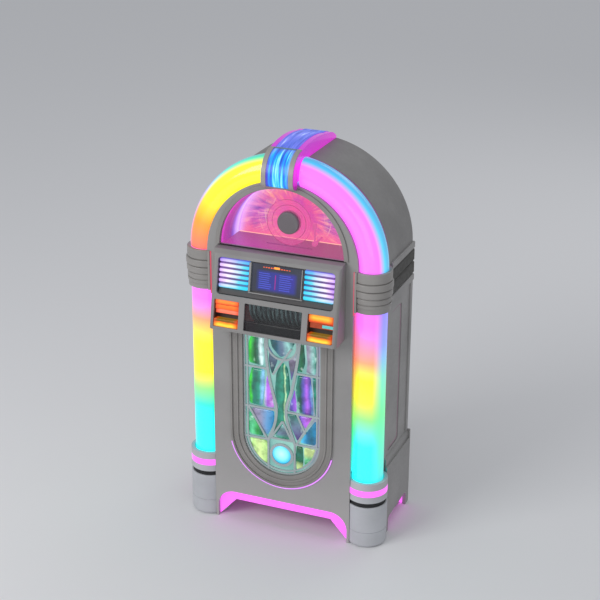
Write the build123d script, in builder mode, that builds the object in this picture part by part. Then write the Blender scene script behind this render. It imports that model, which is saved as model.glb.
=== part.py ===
from build123d import *
import os

os.makedirs("parts", exist_ok=True)

# A bubbler jukebox. Millimetres: X is to the right of someone facing it, Y is to the back, Z is up,
# and the origin is on the floor under the middle of the cabinet.

# ---- Driving dimensions --------------------------------------------------------------------------

FRONT_Y = -152.0            # outer face of the front panel
REAR_Y = 235.0              # outer face of the back door
BOARD = 12.0                # thickness of the front panel, back door and rear arch panel
SIDE_X = 374.0              # outer face of a side panel, and the radius of the top shell
SIDE_BOARD = 16.0
SHELL_BOARD = 14.0
SPRING_Z = 1117.0           # height at which the straight sides turn into the arch

PANEL_HALF = 280.0          # half the width of the front panel
PANEL_ARCH_R = 297.0

TUBE_X, TUBE_Y = 329.0, -89.0   # axis of a pilaster tube, and radius of the arch that the tube follows
TUBE_R, TUBE_WALL = 59.0, 4.0
FOOT_R = 77.0
FOOT_TOP, RING_LOW, RING_HIGH = 174.0, 194.0, 275.0
COLLAR_LOW = 963.0
COLLAR_BORE, COLLAR_CORE = 61.0, 69.0

PLINTH_X = 388.0            # outer face of a plinth side board
PLINTH_REAR = 245.0
PLINTH_TOP = 326.0
FLOOR_LOW, FLOOR_HIGH = 120.0, 138.0     # cabinet floor
DECK_LOW, DECK_HIGH = 814.0, 830.0       # deck that carries the record mechanism

DOME_R, DOME_Z = 243.0, 1148.0           # display dome: its opening and the height of its centre
SILL_Z = 1152.0
TURNTABLE_Z = 1242.0
RECORD_R, RECORD_HOLE_R = 87.5, 19.0     # 7-inch discs with the large centre hole

HOUSING_HALF = 251.0
HOUSING_LOW, HOUSING_FACE_TOP, HOUSING_TOP = 850.0, 1132.0, 1150.0
HOUSING_FRONT, HOUSING_FACE_BACK = -247.0, -197.0   # the face leans back from its lower edge
HOUSING_WALL = 8.0

GRILLE_HALF, GRILLE_Z, GRILLE_TOP = 163.0, 397.0, 808.0
GRILLE_TRIM_HALF = 208.0

CROWN_HALF = 62.0
DOOR_HALF, DOOR_LOW, DOOR_HIGH = 345.0, 330.0, 1100.0
HINGE_X, HINGE_Y = -350.0, 239.0
LOCK_X, LOCK_Z = 325.0, 715.0

# ---- Values worked out from them -----------------------------------------------------------------

PANEL_REAR = FRONT_Y + BOARD
DOOR_FRONT = REAR_Y - BOARD
SIDE_IN = SIDE_X - SIDE_BOARD
SHELL_R_IN = SIDE_X - SHELL_BOARD
FOOT_CLEAR = FOOT_R + 1.5

UP = (Align.CENTER, Align.CENTER, Align.MIN)
face_rise = HOUSING_FACE_TOP - HOUSING_LOW
face_run = HOUSING_FACE_BACK - HOUSING_FRONT
# The sloping face of the selector housing: its Y runs up the slope and its Z points out of the machine.
FACE = Plane(origin=(0, HOUSING_FRONT, HOUSING_LOW), x_dir=(1, 0, 0), z_dir=(0, -face_rise, face_run))
ARCH_AXIS = Axis((0, 0, SPRING_Z), (0, -1, 0))
TUBE_AXIS = Axis((TUBE_X, TUBE_Y, 0), (0, 0, 1))


# ---- Small helpers -------------------------------------------------------------------------------

def facing(y):
    """The upright plane at depth y as seen from the front: extruding from it comes forward."""
    return Plane.XZ.offset(-y)


def depth(distance):
    """The plane that lies this far behind the sloping face of the housing."""
    return FACE.offset(-distance)


def prism(x0, x1, y0, y1, z0, z1, mode=Mode.ADD):
    """A box between two corners, put into the part being built."""
    with Locations(((x0 + x1) / 2, (y0 + y1) / 2, (z0 + z1) / 2)):
        Box(x1 - x0, y1 - y0, z1 - z0, mode=mode)


def pair(x0, x1, y0, y1, z0, z1, mode=Mode.ADD):
    """A box on the right and the same box mirrored to the left."""
    prism(x0, x1, y0, y1, z0, z1, mode)
    prism(-x1, -x0, y0, y1, z0, z1, mode)


def rect(x0, x1, y0, y1, radius=0.0, mode=Mode.ADD):
    """A rectangle between two corners, with rounded corners where a radius is given."""
    with Locations(((x0 + x1) / 2, (y0 + y1) / 2)):
        if radius:
            RectangleRounded(x1 - x0, y1 - y0, radius, mode=mode)
        else:
            Rectangle(x1 - x0, y1 - y0, mode=mode)


def rect_pair(x0, x1, y0, y1, radius=0.0, mode=Mode.ADD):
    """A rectangle on the right and the same one mirrored to the left."""
    rect(x0, x1, y0, y1, radius, mode)
    rect(-x1, -x0, y0, y1, radius, mode)


def posts(radius, low, high, mode=Mode.ADD):
    """Two upright cylinders on the axes of the pilaster tubes."""
    with Locations((TUBE_X, TUBE_Y, low), (-TUBE_X, TUBE_Y, low)):
        Cylinder(radius, high - low, align=UP, mode=mode)


def arch(radius, centre_z, floor_z):
    """A disc over the middle of the cabinet, cut off level at floor_z."""
    with BuildSketch() as outline:
        with Locations((0, centre_z)):
            Circle(radius)
        rect(-radius - 1, radius + 1, floor_z - 2 * radius, floor_z, mode=Mode.SUBTRACT)
    return outline.sketch


def grille_loop(half):
    """The grille's outline at this half width: straight sides on a half circle, level along the top."""
    top = GRILLE_TOP + 0.4 * (half - GRILLE_HALF)
    with BuildSketch() as outline:
        with BuildLine():
            Polyline((-half, GRILLE_Z), (-half, top), (half, top), (half, GRILLE_Z))
            ThreePointArc((half, GRILLE_Z), (0, GRILLE_Z - half), (-half, GRILLE_Z))
        make_face()
    return outline.sketch


def shelf(low, high, front):
    """A board across the cabinet that is narrower between the corner posts."""
    prism(-SIDE_IN, SIDE_IN, -8, 222, low, high)
    prism(-246, 246, front, -8, low, high)


# ---- Cabinet -------------------------------------------------------------------------------------

SKIRT_FLAT, SKIRT_END, SKIRT_SIDE_Z, SKIRT_TOP_Z = 200.0, 270.0, 50.0, 120.0
HOUSING_OPENING = (235.0, 856.0, 1130.0)    # half width, low and high edge of the hole behind the housing

with BuildPart() as front_panel:
    with BuildSketch(facing(PANEL_REAR)):
        add(arch(PANEL_ARCH_R, SPRING_Z, SPRING_Z))
        rect(-PANEL_HALF, PANEL_HALF, 0, SPRING_Z)
        add(arch(DOME_R + 0.5, DOME_Z, SILL_Z), mode=Mode.SUBTRACT)
        rect(-HOUSING_OPENING[0], HOUSING_OPENING[0], *HOUSING_OPENING[1:], mode=Mode.SUBTRACT)
        add(grille_loop(GRILLE_HALF), mode=Mode.SUBTRACT)
        with BuildLine():
            right_knee = (SKIRT_FLAT, SKIRT_TOP_Z)
            left_knee = (-SKIRT_FLAT, SKIRT_TOP_Z)
            Polyline((-SKIRT_END, SKIRT_SIDE_Z), (-SKIRT_END, -1), (SKIRT_END, -1), (SKIRT_END, SKIRT_SIDE_Z))
            RadiusArc((SKIRT_END, SKIRT_SIDE_Z), right_knee, -(SKIRT_END - SKIRT_FLAT))
            Line(right_knee, left_knee)
            RadiusArc(left_knee, (-SKIRT_END, SKIRT_SIDE_Z), -(SKIRT_END - SKIRT_FLAT))
        make_face(mode=Mode.SUBTRACT)
    extrude(amount=BOARD)
    posts(FOOT_CLEAR, 0, RING_HIGH + 1, Mode.SUBTRACT)

SIDE_FRONT = -34.0
STILE_LOW, STILE_HIGH = 330.0, 964.0

with BuildPart() as right_side_panel:
    prism(SIDE_IN, SIDE_X, SIDE_FRONT, REAR_Y, FLOOR_LOW + 2, SPRING_Z)
    posts(FOOT_CLEAR + 0.5, 0, RING_HIGH + 1, Mode.SUBTRACT)
    posts(FOOT_CLEAR + 0.5, COLLAR_LOW - 1, SPRING_Z + 1, Mode.SUBTRACT)
    # The recessed field, and the raised stile along the rear edge.
    with BuildSketch(Plane.YZ.offset(SIDE_X)):
        rect(0, 128, 340, 915, 20)
    extrude(amount=-4, mode=Mode.SUBTRACT)
    prism(SIDE_X, SIDE_X + 5.5, 213, REAR_Y, STILE_LOW, STILE_HIGH)
    fillet(right_side_panel.edges().filter_by(Axis.Z).group_by(Axis.X)[-1], 2)

with BuildPart() as left_side_panel:
    mirror(right_side_panel.part, about=Plane.YZ)

with BuildPart() as top_shell:
    with BuildSketch(facing(REAR_Y)):
        add(arch(SIDE_X, SPRING_Z, SPRING_Z))
        add(arch(SHELL_R_IN, SPRING_Z, SPRING_Z), mode=Mode.SUBTRACT)
    extrude(amount=REAR_Y + 36)
    fillet(top_shell.edges().filter_by(GeomType.CIRCLE).sort_by(Axis.Z)[-2:], 3)

with BuildPart() as rear_arch_panel:
    with BuildSketch(facing(REAR_Y)):
        add(arch(SIDE_IN - 1, SPRING_Z, 1105))
    extrude(amount=BOARD)

with BuildPart() as cabinet_shelves:
    shelf(FLOOR_LOW, FLOOR_HIGH, -128)
    shelf(DECK_LOW, DECK_HIGH, PANEL_REAR)

# White-faced boards behind the tubes: a corner post on each side, and the bulkhead round the dome.
POST_LOW, POST_HIGH = 282.0, 958.0

with BuildPart() as tube_reflectors:
    pair(258, 266, PANEL_REAR, -16, POST_LOW, POST_HIGH)
    pair(266, SIDE_IN, -24, -16, POST_LOW, POST_HIGH)
    with BuildSketch(facing(-14)):
        add(arch(SHELL_R_IN - 0.3, SPRING_Z, SPRING_Z + 2))
        with Locations((0, DOME_Z)):
            Circle(DOME_R + 7, mode=Mode.SUBTRACT)
    extrude(amount=8)

INLET_X = -250.0
INLET_BODY = (17.0, 187.0, 241.0)       # half width, low and high edge of the inlet's body

with BuildPart() as plinth_boards:
    # Side boards, stopped short of the round feet and scooped along the floor.
    with BuildSketch(Plane.YZ.offset(SIDE_X)):
        rect(-60, REAR_Y, 0, 290)
        rect(-5, 212, -60, 60, 20, Mode.SUBTRACT)
    extrude(amount=PLINTH_X - SIDE_X)
    # Cap moulding with a chamfered top edge.
    with BuildSketch(Plane.XZ.offset(-REAR_Y)):
        with BuildLine():
            Polyline((SIDE_X, 290), (SIDE_X + 7, 290), (SIDE_X + 7, 318), (SIDE_X, 325), close=True)
        make_face()
    extrude(amount=REAR_Y + 60)
    mirror(about=Plane.YZ)
    # Rear board, with the opening for the power inlet.
    with BuildSketch(facing(PLINTH_REAR)):
        rect(-PLINTH_X, PLINTH_X, 0, PLINTH_TOP)
        rect(-300, 300, -60, 60, 20, Mode.SUBTRACT)
        rect(INLET_X - INLET_BODY[0], INLET_X + INLET_BODY[0], *INLET_BODY[1:], mode=Mode.SUBTRACT)
    extrude(amount=PLINTH_REAR - REAR_Y)
    pair(330, 360, 195, REAR_Y, 0, FLOOR_LOW)
    posts(FOOT_CLEAR, -1, PLINTH_TOP + 1, Mode.SUBTRACT)

BAND_FRONT = -22.0


def side_strips(levels, proud, radius):
    """Rounded strips along both sides of the cabinet, one for each pair of heights."""
    with BuildPart() as strips:
        with BuildSketch(facing(REAR_Y)):
            for low, high in levels:
                rect(SIDE_X - proud, SIDE_X + proud, low, high, radius)
        extrude(amount=REAR_Y - BAND_FRONT)
        prism(0, SIDE_X, -300, 300, 900, 1200, Mode.SUBTRACT)
        mirror(about=Plane.YZ)
    return strips


side_bands = side_strips(((964, 990), (1094, 1120)), 9, 4)
band_ribs = side_strips(((992, 1041), (1043, 1092)), 8, 7)


# ---- Feet, tubes and collars ---------------------------------------------------------------------

def foot(side):
    """A turned foot under a pilaster, with a shallow groove round it."""
    with BuildPart() as block:
        with Locations((side * TUBE_X, TUBE_Y, 0)):
            Cylinder(FOOT_R, FOOT_TOP, align=UP)
        fillet(block.edges().sort_by(Axis.Z)[0], 14)
        fillet(block.edges().sort_by(Axis.Z)[-1], 3)
        with BuildSketch(Plane.XY.offset(65)):
            with Locations((side * TUBE_X, TUBE_Y)):
                Circle(FOOT_R + 1)
                Circle(FOOT_R - 1.5, mode=Mode.SUBTRACT)
        extrude(amount=2, mode=Mode.SUBTRACT)
    return block


right_foot = foot(1)
left_foot = foot(-1)

with BuildPart() as foot_spacers:
    posts(71, FOOT_TOP, RING_LOW)

LENS_LOW, LENS_HIGH = 220.0, 247.0

with BuildPart() as foot_rings:
    posts(FOOT_R, RING_LOW, RING_HIGH)
    fillet(foot_rings.edges().group_by(Axis.Z)[-1], 3)
    posts(FOOT_R - 13, RING_LOW + 6, RING_HIGH + 1, Mode.SUBTRACT)
    with BuildSketch(Plane.XY.offset(LENS_LOW)):
        with Locations((TUBE_X, TUBE_Y), (-TUBE_X, TUBE_Y)):
            Circle(FOOT_R + 1)
            Circle(FOOT_R - 3.5, mode=Mode.SUBTRACT)
    extrude(amount=LENS_HIGH - LENS_LOW, mode=Mode.SUBTRACT)

with BuildPart() as pilaster_tubes:
    posts(TUBE_R, RING_LOW + 6, 990)
    posts(TUBE_R - TUBE_WALL, RING_LOW, 991, Mode.SUBTRACT)

TUBE_END_X = CROWN_HALF + 4.5    # the arch tubes stop beside the crown

with BuildPart() as arch_tubes:
    with BuildSketch(Plane.XY.offset(SPRING_Z)) as tube_section:
        with Locations((TUBE_X, TUBE_Y)):
            Circle(TUBE_R)
            Circle(TUBE_R - TUBE_WALL, mode=Mode.SUBTRACT)
    revolve(axis=ARCH_AXIS, revolution_arc=90)
    extrude(tube_section.sketch, amount=-25)
    prism(-TUBE_END_X, TUBE_END_X, -200, 0, SPRING_Z, 1600, Mode.SUBTRACT)
    mirror(about=Plane.YZ)

# Ribs of a collar: low edge, high edge and radius.
COLLAR_RIBS = ((1050, 1077, 77.5), (1022, 1048, 75.5), (998, 1020, 72.5))

with BuildPart() as right_collar:
    with BuildSketch(Plane(origin=(TUBE_X, TUBE_Y, 0), x_dir=(1, 0, 0), z_dir=(0, -1, 0))):
        rect(COLLAR_BORE, COLLAR_CORE, COLLAR_LOW, SPRING_Z)
        rect(COLLAR_BORE, 73, 1079, SPRING_Z, 3)
        for low, high, radius in COLLAR_RIBS:
            rect(COLLAR_BORE, radius, low, high, 5)
        with BuildLine():
            Polyline((COLLAR_BORE, COLLAR_LOW), (COLLAR_BORE + 3, COLLAR_LOW), (72, 986), (72, 996),
                     (COLLAR_BORE, 996), close=True)
        make_face()
    revolve(axis=TUBE_AXIS)
    # Flange that meets the accent strip; the collar stops there.
    prism(240, 285, -200, 0, COLLAR_LOW - 1, SPRING_Z + 1, Mode.SUBTRACT)
    prism(285, 293, -158, -136, COLLAR_LOW, SPRING_Z)
    posts(COLLAR_BORE, COLLAR_LOW - 1, SPRING_Z + 1, Mode.SUBTRACT)

with BuildPart() as left_collar:
    mirror(right_collar.part, about=Plane.YZ)

# ---- Crown ---------------------------------------------------------------------------------------

with BuildSketch() as crown_side:
    with BuildLine():
        ThreePointArc((-153, 1398), (-180, 1405), (-190, 1432))
        ThreePointArc((-190, 1432), (-172, 1492), (-110, 1525))
        ThreePointArc((-110, 1525), (10, 1540), (150, 1524))
        ThreePointArc((150, 1524), (205, 1512), (232, 1494))
        Polyline((232, 1494), (232, 1478), (-38, 1478), (-38, 1424), (-153, 1424), (-153, 1398))
    make_face()


def crown_layer(outer, inner, front_only):
    """The part of the crown's side view between two offsets of its outer curve."""
    back_y = -105 if front_only else 212
    with BuildSketch() as layer:
        offset(crown_side.sketch, amount=outer)
        offset(crown_side.sketch, amount=inner, mode=Mode.SUBTRACT)
        with BuildLine():
            Polyline((-230, 1406), (-165, 1406), (-165, 1440), (-120, 1500), (10, 1512), (212, 1490),
                     (212, 1580), (-230, 1580), close=True)
        make_face(mode=Mode.INTERSECT)
        rect(back_y, 300, 1300, 1600, mode=Mode.SUBTRACT)
    return layer.sketch


LENS_HALF = 42.5

with BuildPart() as crown_body:
    with BuildSketch(Plane.YZ):
        add(crown_side.sketch)
    extrude(amount=CROWN_HALF, both=True)
    with BuildSketch(Plane.YZ):
        offset(crown_side.sketch, amount=-4.5)
    extrude(amount=CROWN_HALF - 4.5, both=True, mode=Mode.SUBTRACT)
    with BuildSketch(Plane.YZ):
        add(crown_layer(5, -2.6, False))
    extrude(amount=LENS_HALF + 0.5, both=True, mode=Mode.SUBTRACT)
    # Clearance over the top shell, and round the dome's trim ring.
    with BuildSketch(facing(REAR_Y + 5)):
        with Locations((0, SPRING_Z)):
            Circle(SIDE_X + 1)
    extrude(amount=REAR_Y + 5 + 37.5, mode=Mode.SUBTRACT)
    with BuildSketch(facing(FRONT_Y)):
        with Locations((0, DOME_Z)):
            Circle(DOME_R + 18.5)
    extrude(amount=7.5, mode=Mode.SUBTRACT)

with BuildPart() as crown_lens:
    with BuildSketch(Plane.YZ):
        add(crown_layer(1.5, -2.5, False))
    extrude(amount=LENS_HALF, both=True)

FRAME_IN, FRAME_OUT = LENS_HALF + 0.8, CROWN_HALF - 1

with BuildPart() as crown_frame:
    with BuildSketch(Plane.YZ):
        add(crown_layer(3.5, 0.3, True))
    extrude(amount=FRAME_OUT, both=True)
    prism(-FRAME_IN, FRAME_IN, -300, 0, 1300, 1600, Mode.SUBTRACT)
    # The bar across the foot of the lens.
    with BuildSketch(Plane.YZ):
        offset(crown_side.sketch, amount=3.5)
        offset(crown_side.sketch, amount=0.3, mode=Mode.SUBTRACT)
        rect(-230, -162, 1380, 1406, mode=Mode.INTERSECT)
    extrude(amount=FRAME_OUT, both=True)

# ---- Display dome and turntable ------------------------------------------------------------------

DOME_BACK_Y = 7.5
DOME_WALL = 4.0
# The liner narrows behind its mouth, so that it clears the arch tubes: depth and inner radius.
LINER_MOUTH, LINER_WAIST = (PANEL_REAR, DOME_R), (-95.0, DOME_R - 8)

with BuildPart() as dome_ring:
    with BuildSketch(facing(FRONT_Y)):
        add(arch(DOME_R + 17, DOME_Z, SILL_Z + 1))
        add(arch(DOME_R, DOME_Z, SILL_Z), mode=Mode.SUBTRACT)
    extrude(amount=6)
    fillet(dome_ring.edges().filter_by(GeomType.CIRCLE).group_by(Axis.Y)[0], 2.5)


def liner_form(wall, floor_z):
    """The turned form of the dome's liner, at this distance outside its inner face, above floor_z."""
    with BuildPart() as form:
        with BuildSketch(Plane.YZ):
            with BuildLine():
                Polyline((LINER_MOUTH[0], DOME_Z), (LINER_MOUTH[0], DOME_Z + LINER_MOUTH[1] + wall),
                         (LINER_WAIST[0], DOME_Z + LINER_WAIST[1] + wall),
                         (DOME_BACK_Y, DOME_Z + LINER_WAIST[1] + wall), (DOME_BACK_Y, DOME_Z), close=True)
            make_face()
        revolve(axis=Axis((0, 0, DOME_Z), (0, 1, 0)))
        prism(-300, 300, -300, 300, floor_z - 600, floor_z, Mode.SUBTRACT)
    return form.part


with BuildPart() as dome_liner:
    add(liner_form(DOME_WALL, SILL_Z - 6))
    add(liner_form(0, SILL_Z), mode=Mode.SUBTRACT)
    # Slot that the gripper lifts a record through.
    prism(-92, 92, -84, -72, SILL_Z - 10, SILL_Z + 1, Mode.SUBTRACT)

with BuildPart() as dome_back:
    with BuildSketch(facing(DOME_BACK_Y + 4)):
        add(arch(LINER_WAIST[1] + DOME_WALL, DOME_Z, SILL_Z - 6))
        with Locations((0, TURNTABLE_Z)):
            Circle(15, mode=Mode.SUBTRACT)
    extrude(amount=4)

WINDOW_HALF = 118.0

with BuildPart() as clear_windows:
    with BuildSketch(facing(-148)):
        add(arch(DOME_R - 0.2, DOME_Z, SILL_Z + 1))
    extrude(amount=3)
    with BuildSketch(depth(11.5)):
        rect(-WINDOW_HALF, WINDOW_HALF, 8.5, 120)
    extrude(amount=3)


def disc(radius, y0, y1, x=0.0, z=TURNTABLE_Z, mode=Mode.ADD):
    """A cylinder along Y, on the turntable's axis unless another place is given."""
    with Locations(Location((x, (y0 + y1) / 2, z), (90, 0, 0))):
        Cylinder(radius, y1 - y0, mode=mode)


SHAFT_R = 6.0
RUNNING_CLEARANCE = 0.05

with BuildPart() as turntable_platter:
    disc(44, -76.8, -68)
    disc(SHAFT_R, -68, 44)

with BuildPart() as playing_record:
    disc(RECORD_R, -79, -76.8)
    disc(RECORD_HOLE_R, -80, -76, mode=Mode.SUBTRACT)

with BuildPart() as record_clamp:
    disc(42, -92, -79)
    fillet(record_clamp.edges().group_by(Axis.Y)[0], 4)
    disc(RECORD_HOLE_R - 0.3, -79, -76.8)

ARM_X, ARM_Z, ARM_LENGTH = 95.0, 1168.0, 70.0
ARM_POST_R = 5.0

with BuildPart() as turntable_drive:
    # Bearing tube and flange, motor, and the post that carries the tonearm.
    disc(14, -64, 26)
    disc(30, 12, 18)
    disc(34, 26, 70)
    disc(SHAFT_R + RUNNING_CLEARANCE, -65, 45, mode=Mode.SUBTRACT)
    disc(ARM_POST_R, -70, DOME_BACK_Y, ARM_X, ARM_Z)

with BuildPart() as tonearm:
    disc(10, -68, -56, ARM_X, ARM_Z)
    with Locations((ARM_X, -62, ARM_Z)):
        Cylinder(3, ARM_LENGTH - 4, align=UP)
    prism(ARM_X - 6, ARM_X + 6, -71, -58, ARM_Z + ARM_LENGTH - 14, ARM_Z + ARM_LENGTH + 8)
    with Locations(Location((ARM_X, -71, ARM_Z + ARM_LENGTH), (90, 0, 0))):
        Cone(2.5, 0.6, 5, align=UP)
    disc(ARM_POST_R + RUNNING_CLEARANCE, -69, -55, ARM_X, ARM_Z, Mode.SUBTRACT)

# ---- Selector housing ----------------------------------------------------------------------------

NICHE = (135.0, 235.0, 12.0, 115.0)      # the recess of the keys: inner and outer X, low and high edge
UPPER = (229.0, 135.0, 274.0)            # the upper opening: half width, low and high edge

with BuildPart() as housing_shell:
    with BuildSketch(Plane.YZ):
        with BuildLine():
            Polyline((FRONT_Y, HOUSING_LOW), (HOUSING_FRONT, HOUSING_LOW),
                     (HOUSING_FACE_BACK, HOUSING_FACE_TOP), (-183, HOUSING_TOP - 4),
                     (FRONT_Y, HOUSING_TOP), close=True)
        make_face()
    extrude(amount=HOUSING_HALF, both=True)
    slanted = housing_shell.faces().sort_by(Axis.Y)[0].edges().filter_by(Axis.X, reverse=True)
    fillet(slanted, 14)
    # Hollow, open at the back.
    with BuildSketch(Plane.YZ):
        with BuildLine():
            Polyline((FRONT_Y + 1, 855), (-238, 855), (-190, 1125.3), (-180, 1138), (FRONT_Y + 1, 1142),
                     close=True)
        make_face()
    extrude(amount=HOUSING_HALF - HOUSING_WALL, both=True, mode=Mode.SUBTRACT)
    with BuildSketch(depth(HOUSING_WALL + 4)):
        rect(-UPPER[0], UPPER[0], *UPPER[1:], 14)
        rect_pair(*NICHE, 4)
        rect(-113, 113, NICHE[2], NICHE[3], 4)
    extrude(amount=HOUSING_WALL + 10, mode=Mode.SUBTRACT)

with BuildPart() as display_bezel:
    with BuildSketch(depth(24.3)):
        rect(-238, 238, 128, 279, 10)
    extrude(amount=16)
    with BuildSketch(depth(20.3)):
        rect(-UPPER[0], UPPER[0], *UPPER[1:], 14)
    extrude(amount=20, mode=Mode.SUBTRACT)
    with BuildSketch(depth(25)):
        rect(-98, 98, 162, 266)
        rect_pair(108, 226, 158, 272, 8)
    extrude(amount=20, mode=Mode.SUBTRACT)
    # The sill slopes up from the front edge to the displays.
    with BuildSketch(Plane.YZ):
        low_front = FACE.from_local_coords(Vector(0, 137, -8.3))
        high_back = FACE.from_local_coords(Vector(0, 157.5, -20.3))
        low_back = FACE.from_local_coords(Vector(0, 137, -20.3))
        corners = [(corner.Y, corner.Z) for corner in (low_front, high_back, low_back)]
        with BuildLine():
            Polyline(*corners, close=True)
        make_face()
    extrude(amount=UPPER[0] - 4, both=True)

SCREEN_HALF = 97.5

with BuildPart() as title_screen:
    with BuildSketch(depth(30)):
        rect(-SCREEN_HALF, SCREEN_HALF, 162.5, 265.5)
    extrude(amount=14)

BAR_PITCH, BAR_HEIGHT, BAR_COUNT = 19.0, 15.5, 6

with BuildPart() as light_grilles:
    with BuildSketch(depth(24)):
        rect_pair(108.5, 225.5, 158.5, 271.5, 7.5)
    extrude(amount=6)
    with BuildSketch(depth(18)):
        with Locations((167, 215), (-167, 215)):
            with GridLocations(1, BAR_PITCH, 1, BAR_COUNT):
                RectangleRounded(116, BAR_HEIGHT, 6)
    extrude(amount=8)

FRAME_BACK, FRAME_LIP = 43.0, 4.0

with BuildPart() as key_frames:
    with BuildSketch(depth(FRAME_BACK)):
        rect_pair(NICHE[0] - FRAME_LIP, NICHE[1] + FRAME_LIP, NICHE[2] - FRAME_LIP, NICHE[3] + FRAME_LIP)
    extrude(amount=FRAME_BACK - 8.3)
    with BuildSketch(depth(FRAME_BACK - FRAME_LIP)):
        rect_pair(*NICHE)
    extrude(amount=FRAME_BACK, mode=Mode.SUBTRACT)
    prism(-300, 300, -300, 0, 800, 855.5, Mode.SUBTRACT)     # the housing's floor is in the way below

KEY_BACK = 34.0


def key(side, steps):
    """A translucent selection key: each step is a low edge, a high edge and a depth below the face."""
    inner, outer = sorted((side * 139, side * 231))
    with BuildPart() as block:
        for low, high, front in steps:
            with BuildSketch(depth(KEY_BACK)):
                rect(inner, outer, low, high)
            extrude(amount=KEY_BACK - front)
        # The web that joins the steps.
        with BuildSketch(depth(KEY_BACK)):
            rect(inner, outer, min(s[0] for s in steps), max(s[1] for s in steps))
        extrude(amount=16)
        front_edges = block.faces().sort_by(Axis.Y)[0].edges()
        fillet(front_edges, 1.2)
    return block


LOWER_KEY = ((14, 42, -2),)
key_left_upper = key(-1, ((98, 113, 3), (78, 97, 8), (62, 77, 14)))
key_left_lower = key(-1, LOWER_KEY)
key_right_upper = key(1, ((90, 112, 3), (84, 89.5, 9)))
key_right_lower = key(1, LOWER_KEY)

with BuildPart() as credit_display:
    with BuildSketch(depth(28)):
        rect(140, 231, 62, 80)
    extrude(amount=10)

# ---- Records and their mechanism -----------------------------------------------------------------

RECORD_COUNT, RECORD_PITCH, RECORD_THICK = 25, 9.0, 2.2
STACK_Y, STACK_Z = -114.0, 947.0
stack_x = [RECORD_PITCH * (i - (RECORD_COUNT - 1) / 2) for i in range(RECORD_COUNT)]

with BuildPart() as records:
    with BuildSketch(*[Plane.YZ.offset(x) for x in stack_x]):
        with Locations((STACK_Y, STACK_Z)):
            Circle(RECORD_R)
            Circle(RECORD_HOLE_R, mode=Mode.SUBTRACT)
    extrude(amount=RECORD_THICK / 2, both=True)

with BuildPart() as record_rack:
    prism(-116, 116, -138, -88, DECK_HIGH, 880)
    with Locations(Location((0, STACK_Y, STACK_Z), (0, 90, 0))):
        Cylinder(RECORD_R + 0.5, 240, mode=Mode.SUBTRACT)

RAIL_Y, RAIL_R = 70.0, 6.0
RAIL_HEIGHTS = (890.0, 960.0)

with BuildPart() as gripper_rails:
    pair(228, 240, 50, 90, DECK_HIGH, 980)
    with Locations(*[Location((0, RAIL_Y, z), (0, 90, 0)) for z in RAIL_HEIGHTS]):
        Cylinder(RAIL_R, 456)

with BuildPart() as record_gripper:
    prism(-30, 30, 50, 90, 875, 975)
    with Locations(*[Location((0, RAIL_Y, z), (0, 90, 0)) for z in RAIL_HEIGHTS]):
        Cylinder(RAIL_R + 0.06, 70, mode=Mode.SUBTRACT)
    # The two jaws that close on a record.
    for x in (-9, 5):
        prism(x, x + 4, -24, 50, 915, 960)

# ---- Grille --------------------------------------------------------------------------------------

# Mouldings of the grille trim: outer half width, inner half width, how proud, and radius of its edges.
TRIM_STEPS = ((208, 200, 9, 1.5), (200, 184, 3, 0), (184, 176, 7, 1.4), (176, 163, 2, 0))
GLASS_HALF = 158.0


def moulding(outer, inner, proud, round_over):
    """One ring of the grille trim, its front edges rounded over where a radius is given."""
    with BuildPart() as ring:
        with BuildSketch(facing(FRONT_Y)):
            add(grille_loop(outer))
            add(grille_loop(inner), mode=Mode.SUBTRACT)
        extrude(amount=proud)
        if round_over:
            fillet(ring.faces().sort_by(Axis.Y)[0].edges(), round_over)
    return ring.part


with BuildPart() as grille_trim:
    for outer, inner, proud, round_over in TRIM_STEPS:
        add(moulding(outer, inner, proud, round_over))
    # The lip that passes through the panel and holds the glass.
    with BuildSketch(facing(-132)):
        add(grille_loop(GRILLE_HALF - 0.5))
        add(grille_loop(GLASS_HALF + 0.5), mode=Mode.SUBTRACT)
    extrude(amount=-132 - FRONT_Y)
    with BuildSketch(facing(FRONT_Y)):
        add(grille_loop(GRILLE_HALF))
        add(grille_loop(GLASS_HALF + 0.5), mode=Mode.SUBTRACT)
    extrude(amount=2)

with BuildPart() as grille_glass:
    with BuildSketch(facing(-136)):
        add(grille_loop(GLASS_HALF))
    extrude(amount=4)

JEWEL_R, JEWEL_X, JEWEL_Z = 38.0, -2.0, 321.0
CAME_WIDTH = 8.0
CAME_BACK, CAME_FRONT = PANEL_REAR - 0.3, -146.0
# Straight leads of the art glass, each from end to end.
STRAIGHT_LEADS = (
    ((-160, 675), (-60, 675)), ((-160, 508), (-26, 508)), ((-160, 378), (-52, 378)),
    ((56, 675), (160, 675)), ((18, 508), (160, 508)), ((52, 378), (160, 378)),
    ((-57, 380), (-57, 240)), ((52, 378), (52, 240)),
    ((-138, 505), (-62, 380)), ((60, 508), (95, 430)), ((130, 508), (60, 380)),
    ((38, 772), (-38, 655)), ((-46, 388), (2, 466)), ((2, 466), (40, 388)), ((-46, 388), (40, 388)),
)

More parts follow.
